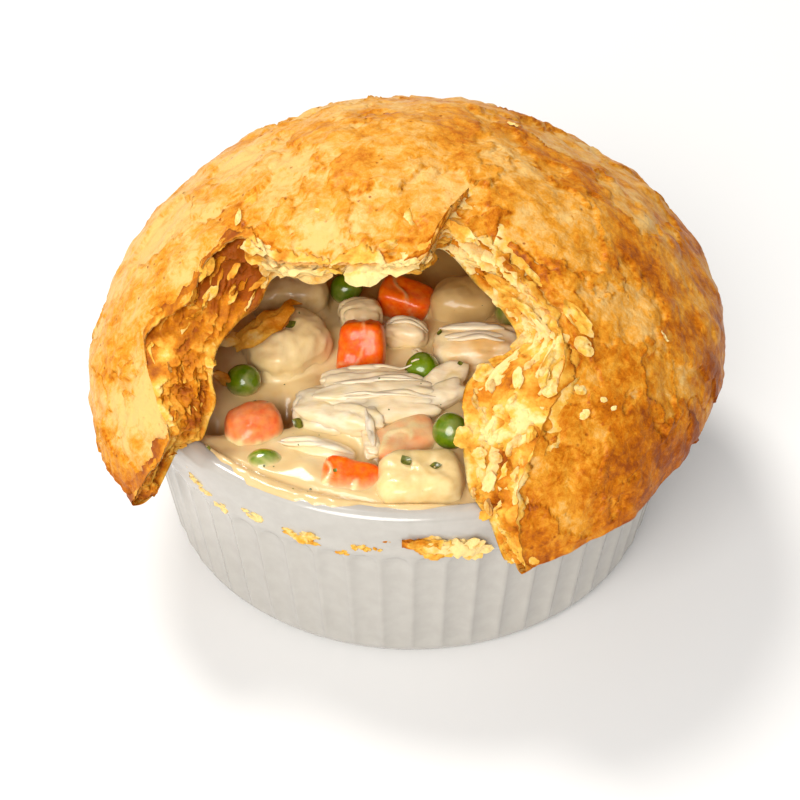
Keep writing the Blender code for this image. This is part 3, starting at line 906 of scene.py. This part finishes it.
def lump(centre, size, turn, squareness, rough, seed, rows=44, columns=60):
    """A rounded block with uneven faces: squareness 0 is a ball, 1 nearly a box."""
    way, faces = ball_grid(rows, columns)
    power = lerp(2.0, 7.0, squareness)
    reach = (np.abs(way) ** power).sum(-1, keepdims=True) ** (-1 / power)
    body = way * reach * np.array(size) / 2
    body = body * (1 + 0.10 * noise(body + 3 * seed, max(size) * 0.8, seed)[..., None])
    points = turned(body, turn) + np.array(centre)
    bumpy = rough * (0.8 * noise(points, 4.0, seed + 1) + 0.4 * noise(points, 1.8, seed + 2))
    return points + turned(way, turn) * bumpy[..., None], faces


# The lumps; coat is how thickly sauce covers one, below how far the sauce stays under its top
Chunk = namedtuple("Chunk", "centre size turn square rough coat below")
CHUNKS = {name: Chunk(*row) for name, row in {
    "carrot_1": ((-30.6, -30.4, 42.4), (11.0, 10.6, 8.8), (8, -6, 24), 0.12, 0.45, 0.16, 2.4),
    "carrot_2": ((-10.2, -9.6, 44.8), (9.4, 6.6, 12.8), (-24, 0, -8), 0.50, 0.35, -0.42, 3.0),
    "carrot_3": ((-1.4, 8.0, 44.3), (11.0, 8.2, 6.8), (0, 10, -14), 0.55, 0.25, 0.00, 2.6),
    "carrot_4": ((-11.8, -45.9, 41.6), (11.6, 9.0, 7.4), (6, 8, -10), 0.55, 0.35, -0.22, 3.0),
    "carrot_5": ((-1.2, -34.6, 41.9), (12.8, 9.0, 7.0), (4, -8, 22), 0.45, 0.3, 0.58, 1.4),
    "pea_1": ((7.4, -36.2, 46.8), (7.0, 6.8, 6.7), (0, 0, 0), 0.0, 0.12, 0.02, 4.6),
    "pea_2": ((2.2, -16.6, 46.0), (7.0, 6.8, 6.8), (0, 0, 0), 0.0, 0.10, 0.0, 4.6),
    "pea_3": ((-33.4, -18.0, 44.0), (6.9, 6.8, 6.7), (0, 0, 0), 0.0, 0.12, 0.04, 3.8),
    "pea_4": ((20.4, 1.6, 45.4), (6.9, 6.8, 6.7), (0, 0, 0), 0.0, 0.12, 0.25, 3.0),
    "pea_5": ((-27.8, -40.6, 41.9), (7.6, 6.6, 6.6), (0, 0, 0), 0.0, 0.12, -0.10, 1.7),
    "pea_6": ((-13.6, 11.6, 44.8), (6.9, 6.8, 6.7), (0, 0, 0), 0.0, 0.12, 0.05, 3.6),
    "potato_1": ((1.4, -46.4, 42.6), (16.0, 12.4, 9.8), (4, 0, 4), 0.42, 0.60, 0.16, 2.2),
    "potato_2": ((-25.2, -7.6, 44.8), (17.8, 16.0, 10.4), (8, 0, 28), 0.12, 0.9, 0.55, 0.6),
    "potato_3": ((-25.3, 8.2, 45.9), (15.6, 10.6, 8.8), (0, 0, 6), 0.3, 0.5, 0.30, 1.4),
    "potato_4": ((11.4, 6.4, 44.8), (14.0, 11.0, 9.4), (0, 0, -10), 0.2, 0.4, 0.70, 0.6),
    "chicken_1": ((-9.6, -25.6, 43.0), (26.0, 13.0, 7.2), (10, -2, 3), 0.10, 0.6, 0.12, 1.8),
    "chicken_2": ((-18.4, -36.2, 41.2), (16.5, 5.6, 5.2), (0, -4, -14), 0.05, 0.3, 0.10, 1.4),
    "chicken_3": ((13.2, -10.4, 45.2), (18.0, 10.4, 9.0), (6, -4, -6), 0.35, 0.7, 0.15, 2.6),
    "chicken_4": ((-1.4, -3.0, 43.9), (9.4, 7.0, 6.6), (0, 0, -10), 0.2, 0.5, 0.35, 1.2),
    "chicken_5": ((-10.6, 2.0, 44.9), (9.0, 8.0, 7.2), (0, 0, 8), 0.2, 0.5, 0.55, 1.0),
}.items()}
SEARED = {"chicken_3": 0.9, "chicken_5": 0.2}  # how golden the meat was fried
# Slabs of pulled meat on the big piece of chicken: centre, size, turn
MEAT_SLABS = [
    ((-14.4, -27.4, 43.6), (18.0, 9.0, 6.8), (10, -4, -20)),
    ((-8.6, -19.6, 45.8), (18.0, 3.8, 3.6), (6, 0, 3)),
    ((-7.8, -22.0, 46.6), (19.0, 4.2, 3.6), (10, -2, -2)),
    ((-6.4, -24.8, 46.5), (22.0, 4.6, 3.8), (12, -2, 4)),
    ((-3.4, -28.0, 45.0), (18.0, 6.4, 4.6), (16, 0, 12)),
    ((5.0, -21.6, 46.4), (12.5, 5.4, 3.6), (14, -14, 38)),
    ((5.8, -24.6, 45.6), (10.5, 5.0, 4.0), (20, -8, 30)),
    ((-8.0, -34.6, 43.3), (3.4, 9.0, 3.0), (0, 0, 8)),
]
# Hollows of the sauce, darkened with painted shade: x, y, radius and depth
SHADED_PITS = [
    (-4.6, -38.6, 2.4, 4.4),
    (6.2, -20.0, 2.8, 4.4),
    (-24.6, -23.4, 3.0, 4.6),
    (-25.2, -27.4, 2.2, 3.0),
    (-38.0, -28.0, 3.0, 4.0),
]
# Other soft rises and hollows: x, y, radius and height
SAUCE_HUMPS = [
    (-9.5, -36.5, 2.6, -2.4),
    (-4.0, 3.0, 3.5, -2.0),
    (4.0, 16.0, 9.0, -5.0),
    (-32.0, -13.5, 2.6, -2.0),
    (-20.0, -43.0, 4.6, 1.7),
    (-15.0, -47.5, 5.0, 0.7),
    (0.6, -8.6, 2.6, 1.5),
    (17.4, 0.6, 3.4, 2.8),
    (-12.8, -1.4, 4.2, 1.6),
    (-20.6, -17.4, 3.6, 1.0),
    (-8.0, -51.0, 6.0, 1.1),
    (8.0, 2.0, 7.0, 1.2),
]
FIELD_STEP = 0.4
FIELD_HALF = 56.0
SAUCE_LEVEL = 42.3
BLEND = 1.6  # how sharply the level sauce meets what clings to the lumps


def blur(field, radius_mm):
    """Soften a field of heights by about radius_mm."""
    reach = int(3 * radius_mm / FIELD_STEP) + 1
    offsets = np.arange(-reach, reach + 1)
    weights = np.exp(-0.5 * (offsets * FIELD_STEP / radius_mm) ** 2)
    weights /= weights.sum()
    for axis in (0, 1):
        field = sum(weight * np.roll(field, shift, axis) for shift, weight in zip(offsets, weights))
    return field


def field_at(field, x, y):
    """Read a field of heights between its grid points."""
    column = np.clip((x + FIELD_HALF) / FIELD_STEP, 0, field.shape[1] - 1.001)
    row = np.clip((y + FIELD_HALF) / FIELD_STEP, 0, field.shape[0] - 1.001)
    c, r = column.astype(int), row.astype(int)
    return lerp(lerp(field[r, c], field[r, c + 1], column - c),
                lerp(field[r + 1, c], field[r + 1, c + 1], column - c), row - r)


def hump(x, y, middle_x, middle_y, radius):
    """1 at the middle of a round rise, falling to 0 about two radii away."""
    return bell(np.hypot(x - middle_x, y - middle_y), 0, radius)


def sauce_field(shapes):
    """Height of the sauce over the dish: it lies level, rises round the lumps and clings."""
    side = np.arange(-FIELD_HALF, FIELD_HALF + FIELD_STEP / 2, FIELD_STEP)
    x, y = np.meshgrid(side, side)
    base = SAUCE_LEVEL + 0.45 * flat_noise(x, y, 9.0, 701) + 0.22 * flat_noise(x, y, 3.6, 702)
    base += 1.5 * bell(np.degrees(np.arctan2(y, x)), -116, 24) * smoothstep(40, 52, np.hypot(x, y))
    for *spot, depth in SHADED_PITS:
        base -= depth * hump(x, y, *spot)
    for *spot, rise in SAUCE_HUMPS:
        base += rise * hump(x, y, *spot)
    cling = np.full(x.shape, SAUCE_LEVEL - 6.0)
    for name, (points, faces) in shapes.items():
        points = points.reshape(-1, 3)
        tree = BVHTree.FromPolygons(points.tolist(), faces.tolist())
        low, high = points.min(0), points.max(0)
        for at in zip(*np.nonzero((x > low[0]) & (x < high[0]) & (y > low[1]) & (y < high[1]))):
            place, _ = drop_on(tree, x[at], y[at])
            if place is not None:
                cling[at] = max(cling[at], place[2] - CHUNKS[name].below)
    cling = blur(cling, 0.9) + 0.5 * flat_noise(x, y, 4.5, 703) + 0.25 * flat_noise(x, y, 1.9, 704)
    return np.log(np.exp(BLEND * (base - 40)) + np.exp(BLEND * (cling - 40))) / BLEND + 40


def coat_of(name, points, field):
    """How thickly a lump is coated: near the sauce and in streaks over the top, and the streaks."""
    base = CHUNKS[name].coat
    gap = points[..., 2] - field_at(field, points[..., 0], points[..., 1])
    near = np.exp(-np.clip(gap, 0, None) / 0.7)
    drift = 0.30 * noise(points, 4.0, 721) + 0.2 * noise(points, 1.7, 722)
    line = 1 - np.abs(noise(points * np.array([1.0, 1.0, 0.6]), 6.5, 723)) / 0.16
    streak = np.clip(line, 0, 1) * smoothstep(-0.15, 0.25, noise(points, 7.0, 724))
    if name.startswith("pea"):
        streak = streak * 0.3
    return np.clip(base + drift * (0.35 + base) + 0.85 * near + 0.85 * streak, 0, 1), streak


def creased(points, outward, turn_degrees, seed, depth):
    """Meat with the creases of its fibres, running along one way, deep here and faint there."""
    way, side = compass(turn_degrees)
    sway = 1.4 * noise(points, 9.0, seed)
    spot = np.stack([points @ way / 6.0, points @ side + sway, points[..., 2]], -1)
    where = smoothstep(-0.25, 0.35, noise(points, 8.0, seed + 3))
    crease = np.clip(1 - np.abs(noise(spot, 3.0, seed + 1)) / 0.20, 0, 1)
    amount = where * (0.85 * crease + 0.18 * np.abs(noise(spot, 1.3, seed + 2)))
    return points - unit(outward) * amount[..., None] * depth


def with_slabs(points, faces):
    """The big piece of chicken with the slabs pulled half away from it, frayed at their ends."""
    parts = [(points, faces, {})]
    for number, (centre, size, turn) in enumerate(MEAT_SLABS):
        seed = 960 + 6 * number
        slab, slab_faces = lump(centre, size, turn, 0.3, 0.45, seed, 40, 52)
        outward = slab - np.array(centre)
        along = turned(np.array([1.0, 0, 0]), turn) if size[0] > size[1] else np.array([0, -1.0, 0])
        reach = (outward @ along)[..., None]
        fray = 0.22 * noise(slab - along * reach * 0.9, 1.8, seed + 1)[..., None]
        slab = creased(slab + along * reach * fray, outward, turn[2], seed + 2, 0.7)
        parts.append((slab, slab_faces, {}))
    return join_parts(parts)[:2]


def make_chunks(materials):
    """Every lump in the sauce, its coat worked out from the sauce's height round it."""
    shapes = {}
    for number, (name, chunk) in enumerate(CHUNKS.items()):
        detail = (70, 110) if name == "chicken_1" else (44, 60)
        points, faces = lump(*chunk[:5], 740 + 5 * number, *detail)
        if name.startswith("chicken"):
            points = creased(points, points - np.array(chunk.centre), chunk.turn[2], 760, 1.1)
        shapes[name] = (points, faces)
    shapes["chicken_1"] = with_slabs(*shapes["chicken_1"])
    field = sauce_field(shapes)
    for name, (points, faces) in shapes.items():
        kind = name.split("_")[0]
        coat, streak = coat_of(name, points, field)
        if kind == "carrot":
            points = points + unit(points - np.array(CHUNKS[name].centre)) * 0.35 * streak[..., None]
        sear = SEARED.get(name, 0) * smoothstep(-0.8, 0.5, noise(points, 3.4, 731)) * (1 - 0.5 * coat)
        add_piece(name + "_cooked", kind, [name], materials[kind], points, faces,
                  {"coat": coat, "sear": sear})
    return field


def rim_top(radius):
    """Height of the dish's rim at a radius, over the inner and outer rounding."""
    past = np.maximum(np.maximum(INNER_R + RIM_ROUND - radius, radius - RIM_R + RIM_ROUND), 0)
    return RIM_Z - RIM_ROUND + np.sqrt(np.clip(RIM_ROUND ** 2 - past ** 2, 0, None))


SAUCE_RINGS, SAUCE_SPOKES = 150, 600


def make_sauce(field):
    """The sauce as one sheet out to the wall, creeping over the rim at the front."""
    turn = circle(SAUCE_SPOKES)
    degrees = np.degrees(turn)
    spill, smear = bell(degrees % 360, 243.5, 17.0), bell(degrees, 271, 7)
    wander = 0.5 * line_noise(degrees, 9.0, 731) + 0.35 * line_noise(degrees, 3.0, 732)
    edge = 53.0 + np.clip(4.2 * spill + 3.2 * spill * wander + 1.9 * smear, 0, 4.0)
    radius = np.linspace(0.01, 1, SAUCE_RINGS)[:, None] ** 0.8 * edge
    x, y = radius * np.cos(turn), radius * np.sin(turn)
    level, left = field_at(field, x, y), edge - radius
    film = rim_top(radius) - 0.25 + 0.85 * np.sqrt(np.clip(left / 1.4, 0, 1))
    film = film + 0.15 * flat_noise(x, y, 2.2, 733)
    over_rim = smoothstep(52.0, 53.4, radius) * smoothstep(53.2, 54.4, edge)
    level = lerp(level, np.where(edge > 53.6, film, level), over_rim)
    level = level + 0.5 * np.exp(-left / 1.2) * (1 - spill) * (0.5 + 0.5 * wander)
    points = np.stack([x, y, level], -1)
    # thin marks where the sauce thins towards the wall; its darkening there is partly painted shade.
    thin = smoothstep(43, 52, radius + 1.5 * noise(points, 5.0, 735))
    # Painted shade in the sauce's hollows, darker in the deeper ones.
    pit_shade = sum(depth / 5 * hump(x, y, *spot) for *spot, depth in SHADED_PITS)
    return add_piece("sauce", "cream_sauce", ["filling"], sauce_material(), points,
                     grid_faces(SAUCE_RINGS, SAUCE_SPOKES, wrap=True),
                     {"thin": thin, "pit_shade": np.clip(pit_shade, 0, 0.9)})


def tube(path, width, thick):
    """A flattened strand along a path; width and thickness are given at each point of it."""
    ahead = unit(np.gradient(path, axis=0))
    across = unit(np.cross(UP, ahead))
    turn = circle(8)
    ring = (path[:, None] + across[:, None] * (np.cos(turn) * width[:, None])[..., None]
            + np.cross(ahead, across)[:, None] * (np.sin(turn) * thick[:, None])[..., None])
    return ring, grid_faces(len(path), len(turn), wrap=True)


def surface_tree(objects):
    """One search tree over several objects, in millimetres."""
    points, faces = [], []
    for thing in objects:
        start = len(points)
        points += [v.co * 1000 for v in thing.data.vertices]
        faces += [[start + i for i in p.vertices] for p in thing.data.polygons]
    return BVHTree.FromPolygons(points, faces)


def drop_on(tree, x, y):
    """Highest surface point and its normal at x, y, or None twice."""
    place, normal, _, _ = tree.ray_cast(Vector((x, y, 120)), Vector((0, 0, -1)))
    if place is None:
        return None, None
    return np.array(place), np.array(normal if normal.z > 0 else -normal)


def lie_on(normal, azimuth):
    """The unit vector that points along a surface at an azimuth in degrees."""
    way = compass(azimuth)[0]
    return unit(way - normal * (way @ normal))


# Shreds over the big piece of chicken: start, end, half width, lift in the middle
SHREDS = [
    ((-16.0, -18.6), (0.8, -18.2), 1.0, 0.5),
    ((-15.0, -23.4), (2.2, -23.0), 0.9, 0.5),
    ((-13.0, -26.6), (4.6, -26.4), 0.9, 0.3),
    ((-8.8, -30.8), (-7.4, -38.0), 1.2, 0.6),
    ((-25.4, -35.0), (-11.4, -38.8), 1.5, 0.5),
    ((6.2, -7.6), (18.6, -8.8), 1.5, 0.4),
    ((7.0, -11.6), (18.4, -12.2), 1.6, 0.4),
    ((-4.8, -2.4), (3.6, -4.0), 1.2, 0.4),
    ((0.4, -8.6), (3.8, -12.0), 0.9, 1.2),
]


def make_shreds(tree, material):
    """Loose threads of chicken lying over the lumps they were pulled from."""
    parts = []
    share = np.linspace(0, 1, 26)
    taper = np.sin(np.pi * np.clip(share, 0.02, 0.98)) ** 0.55
    for start, end, half, lift in SHREDS:
        for copy in range(2):
            ground = lerp(np.array(start), np.array(end), share[:, None]) + RANDOM.normal(0, 0.45, 2)
            ground[:, 1] += 0.7 * line_noise(share * 20 + copy * 9 + start[0], 9.0, 801)
            places = [drop_on(tree, x, y)[0] for x, y in ground]
            height = [SAUCE_LEVEL if place is None else place[2] for place in places]
            height = np.convolve(np.pad(height, 2, "edge"), np.ones(5) / 5, "valid")
            bow = lift * np.sin(np.pi * share) * (0.5 + copy * 0.5)
            width = half * (0.75 - 0.3 * copy) * taper
            width = width * (1 + 0.25 * line_noise(share * 20, 4.0, 811 + copy))
            ring, faces = tube(np.column_stack([ground, height + bow + 0.1]), width, width * 0.55)
            parts.append((ring, faces, {"coat": np.clip(0.10 + 0.25 * noise(ring, 4.0, 805), 0, 1)}))
    return add_parts("chicken_shreds", "chicken", [], material, parts)


def herb_material():
    s = Shader("dried_herb")
    vein = s.remap(s.noise(0.7, detail=3.0), 0.3, 0.7)
    s.set(Base_Color=s.mix(vein, (0.045, 0.055, 0.006), (0.20, 0.21, 0.02)), Roughness=0.35)
    return s.set(Coat_Weight=0.5, Coat_Roughness=0.15)


# Herb leaves: x, y, length and the way they point in degrees
HERBS = [
    (-1.2, -45.6, 2.8, -60), (4.3, -46.6, 2.3, 8), (-21.9, -29.8, 2.9, -45), (-38.6, -38.2, 1.5, 70),
    (-3.8, -41.2, 1.6, 25), (8.2, -4.6, 2.2, -10), (5.6, -9.2, 1.6, 60), (-24.2, -7.2, 2.4, 30),
    (-14.4, -46.0, 1.1, 60), (9.4, -18.6, 1.3, 20), (-30.5, -26.0, 1.0, 40), (16.0, -6.0, 1.1, -40),
]


def leaf(tree, x, y, length, turn_degrees, seed):
    """A small crumpled leaf that follows the surface under it, or nothing where there is none."""
    place, normal = drop_on(tree, x, y)
    if place is None:
        return []
    along = lie_on(normal, turn_degrees)
    u, v = np.meshgrid(np.linspace(-1, 1, 13), np.linspace(-1, 1, 7))
    width = 0.36 * (1 - np.abs(u) ** 1.6) + 0.02
    flat = u[..., None] * along * length / 2 + (v * width)[..., None] * np.cross(normal, along) * length
    curl = 0.12 * length * (v * width * 2) ** 2 + 0.10 * length * u ** 2 + 0.05
    points = place + flat + normal * (curl + 0.07 * noise(flat, 0.7, seed))[..., None]
    return [(points, grid_faces(7, 13), {})]


def make_herbs(tree):
    """The herb leaves, and specks of herb scattered over the filling."""
    parts = []
    for number, herb in enumerate(HERBS):
        parts += leaf(tree, *herb, 820 + number)
    for number in range(70):
        angle, reach = RANDOM.uniform(0, 2 * math.pi), 46 * math.sqrt(RANDOM.uniform(0, 1))
        x, y = reach * math.cos(angle) - 4, reach * math.sin(angle) - 8
        parts += leaf(tree, x, y, RANDOM.uniform(0.25, 0.6), RANDOM.uniform(0, 180), 900 + number)
    return add_parts("herb_leaves", "cream_sauce", [], herb_material(), parts)


def make_filling():
    """Lumps, sauce, threads of chicken, then herbs on top of them all."""
    materials = {
        "carrot": chunk_material("carrot_cooked", (0.82, 0.075, 0.001), (0.93, 0.19, 0.004), 0.14, 1.4),
        "pea": chunk_material("pea_cooked", (0.07, 0.16, 0.001), (0.17, 0.27, 0.003), 0.05, 2.5,
                              rough=0.25, gloss=0.9),
        "potato": chunk_material("potato_cooked", (0.70, 0.49, 0.18), (0.81, 0.63, 0.30), 0.12, 2.4,
                                 shaded_under_crust=True),
        "chicken": chunk_material("chicken_cooked", (0.90, 0.70, 0.44), (0.97, 0.83, 0.60), 0.16, 1.1,
                                  stretch=(0.22, 1.0, 1.0), shaded_under_crust=True),
    }
    below = [make_sauce(make_chunks(materials))]
    below += [thing for thing in bpy.data.objects if thing.name.endswith("_cooked")]
    shreds = make_shreds(surface_tree(below), materials["chicken"])
    make_herbs(surface_tree([below[0], shreds] + below[1:]))


# ---------------------------------------------------------------- scraps of crust

# Crumbs stuck to the dish's wall: azimuth, height, width, tallness, toast
WALL_CRUMBS = [
    (-137.5, 36.0, 3.4, 1.6, 0.10), (-135.0, 34.2, 2.6, 1.4, 0.20), (-131.0, 33.4, 3.0, 1.8, 0.12),
    (-122.5, 35.6, 3.4, 1.6, 0.16), (-112.0, 34.6, 5.6, 2.6, 0.30), (-110.0, 33.6, 3.2, 1.8, 0.42),
    (-103.5, 32.6, 2.4, 1.4, 0.55), (-100.5, 34.8, 2.2, 1.4, 0.50), (-98.4, 34.4, 1.6, 1.0, 0.48),
    (-96.6, 34.6, 1.4, 0.9, 0.45), (-88.5, 40.6, 2.6, 1.0, 0.35), (-83.0, 39.6, 4.6, 1.2, 0.20),
    (-94.8, 37.2, 1.2, 0.8, 0.60), (-139.5, 39.0, 1.8, 1.0, 0.15),
]


def wall_crumb(azimuth, height, width, tall, seed):
    """A flat broken crumb pressed onto the wall."""
    way, faces = ball_grid(11, 16)
    out, side = compass(azimuth)
    rough = 1 + 0.55 * noise(way + seed, 0.8, seed) + 0.40 * noise(way + seed, 0.35, seed + 1)
    body = way * rough[..., None] * np.array([width / 2, min(width, tall) * 0.42, tall / 2])
    return out * wall_radius(height) + UP * height + body @ np.array([side, out, UP]), faces


def make_wall_crumbs():
    """Crumbs stuck to the wall, each of six broken bits."""
    parts = []
    for number, (azimuth, height, width, tall, toast) in enumerate(WALL_CRUMBS):
        for bit in range(6):
            aside, above = RANDOM.uniform(-0.45, 0.45) * width, RANDOM.uniform(-0.45, 0.45) * tall
            share = RANDOM.uniform(0.35, 0.75)
            points, faces = wall_crumb(azimuth + aside, height + above, width * share, tall * share,
                                       850 + 8 * number + bit)
            parts.append((points, faces, {"toast": toast - 0.16 + 0.30 * noise(points, 1.0, 871)}))
    return add_parts("wall_crumbs", "pastry_pale", [], crumb_material("pastry_crumbs_dish"), parts)


# Azimuths and heights of the two ends of the strip of crust left on the wall
SCRAP_AZIMUTHS, SCRAP_HEIGHTS = (-92.0, -75.5), (37.6, 34.4)


def make_scrap():
    """The strip of crust left on the wall: toasted at its left end, pale at its right."""
    share, around = np.meshgrid(np.linspace(0, 1, 90), circle(34), indexing="ij")
    azimuth = np.radians(lerp(*SCRAP_AZIMUTHS, share))
    height = lerp(*SCRAP_HEIGHTS, share) + 0.5 * line_noise(share[:, 0] * 20, 4.0, 881)[:, None]
    taper = np.sin(math.pi * np.clip(share, 0.03, 0.97)) ** 0.35
    spot = np.stack([share * 16, np.cos(around) * 1.6, np.sin(around) * 1.6], -1)
    tall = 2.1 * taper * (1 + 0.60 * noise(spot, 2.6, 883) + 0.45 * noise(spot, 0.9, 884))
    thick = 1.2 * taper * (1 + 0.4 * noise(spot, 1.8, 885))
    radius = wall_radius(height) + 0.6 + thick * np.cos(around)
    points = polar(radius, azimuth, height + tall * np.sin(around))
    toast = 0.80 - 0.95 * smoothstep(0.0, 0.55, share) + 0.35 * noise(spot, 1.8, 886)
    parts = [(points, grid_faces(90, 34, wrap=True), {"toast": toast})]
    for number in range(9):
        place = RANDOM.uniform(0.02, 0.98)
        out, side = compass(lerp(*SCRAP_AZIMUTHS, place))
        level = lerp(*SCRAP_HEIGHTS, place) + RANDOM.uniform(-1.6, 1.4)
        side = unit(side + UP * RANDOM.uniform(-0.5, 0.3))
        centre = out * (wall_radius(level) + RANDOM.uniform(0.8, 1.7)) + UP * level
        bit, faces = flake(centre, side, np.cross(side, out), RANDOM.uniform(3.0, 5.5),
                           RANDOM.uniform(1.6, 3.2), RANDOM.uniform(-0.4, 0.2), 0.22, 1200 + 3 * number)
        parts.append((bit, faces, {"toast": 0.62 - 0.70 * place + 0.25 * noise(bit, 1.8, 887)}))
    return add_parts("wall_scrap", "pastry_pale", ["crust_scrap"], crumb_material("pastry_scrap"), parts)


# Flakes fallen on the filling: centre, length, width, turn, toast
FALLEN = [
    ((-29.4, -9.6, 51.6), 15.0, 6.6, (-6, -20, 32), 0.45),
    ((-36.8, -11.0, 49.8), 6.5, 4.6, (10, 10, 10), 0.06),
    ((-37.2, -20.8, 47.6), 3.0, 10.0, (-55, 0, -8), 0.42),
]


def make_fallen():
    """The browned flake on the potato and the scraps by the left wall."""
    parts = []
    for number, (centre, length, width, turn, toast) in enumerate(FALLEN):
        centre = np.array(centre)
        along, across = turned(np.array([1.0, 0, 0]), turn), turned(np.array([0, 1.0, 0]), turn)
        points, faces = flake(centre, along, across, length, width, -0.5, 0.45, 890 + 4 * number)
        shade = toast + 0.35 * ((points - centre) @ along / length) + 0.15 * noise(points, 2.5, 897)
        parts.append((points, faces, {"toast": shade}))
    return add_parts("fallen_flakes", "pastry", ["crust_flake"], crumb_material("pastry_fallen"), parts)


# ---------------------------------------------------------------- studio

CAMERA_TILT = 40.0
CAMERA_DISTANCE = 400.0
CAMERA_AIM = (-2.33, 0.0, 24.0)
LENS = 85.0


def make_camera():
    """A camera in front of the pie that looks down on it."""
    data = bpy.data.cameras.new("camera")
    data.lens = LENS
    data.sensor_width = 36.0
    data.clip_start, data.clip_end = 0.01, 20.0
    camera = bpy.data.objects.new("camera", data)
    tilt = math.radians(CAMERA_TILT)
    camera.location = (CAMERA_AIM[0] * MM, -CAMERA_DISTANCE * math.cos(tilt) * MM,
                       (CAMERA_AIM[2] + CAMERA_DISTANCE * math.sin(tilt)) * MM)
    camera.rotation_euler = (math.pi / 2 - tilt, 0, 0)
    bpy.context.scene.collection.objects.link(camera)
    bpy.context.scene.camera = camera


def add_light(name, azimuth, height, distance, size, power, colour):
    """A round area light that looks at the middle of the pie."""
    data = bpy.data.lights.new(name, "AREA")
    data.shape = "DISK"
    data.size, data.energy, data.color = size, power, colour
    lamp = bpy.data.objects.new(name, data)
    turn, rise = math.radians(azimuth), math.radians(height)
    way = Vector((math.cos(turn) * math.cos(rise), math.sin(turn) * math.cos(rise), math.sin(rise)))
    lamp.location = Vector((0, 0, 0.04)) + distance * way
    lamp.rotation_euler = way.to_track_quat("Z", "Y").to_euler()
    bpy.context.scene.collection.objects.link(lamp)


def make_studio():
    """A pale floor, a pale sky, a key light from behind and a soft light from the front."""
    floor_material = Shader("floor")
    floor_material.set(Base_Color=(0.82, 0.815, 0.81), Roughness=0.9, Specular_IOR_Level=0.0)
    half = 3000.0
    corners = [(-half, -half, 0), (half, -half, 0), (half, half, 0), (-half, half, 0)]
    floor = make_mesh("floor", corners, [(0, 1, 2, 3)], floor_material.material, smooth=False)
    world = bpy.data.worlds.new("studio")
    bpy.context.scene.world = world
    world.use_nodes = True
    sky = world.node_tree.nodes["Background"]
    sky.inputs["Color"].default_value = (0.97, 0.985, 1.0, 1.0)
    sky.inputs["Strength"].default_value = 0.44
    add_light("key", 130, 60, 1.0, 0.36, 6.6, (1.0, 0.965, 0.91))
    add_light("front", -108, 34, 1.1, 0.75, 12.2, (1.0, 0.975, 0.935))
    bpy.context.scene.view_settings.view_transform = "Standard"


def main():
    make_camera()
    make_studio()
    make_dish()
    make_skin_flakes(make_skin())
    make_inside()
    make_layers()
    make_flakes()
    make_filling()
    make_scrap()
    make_fallen()
    make_wall_crumbs()


main()
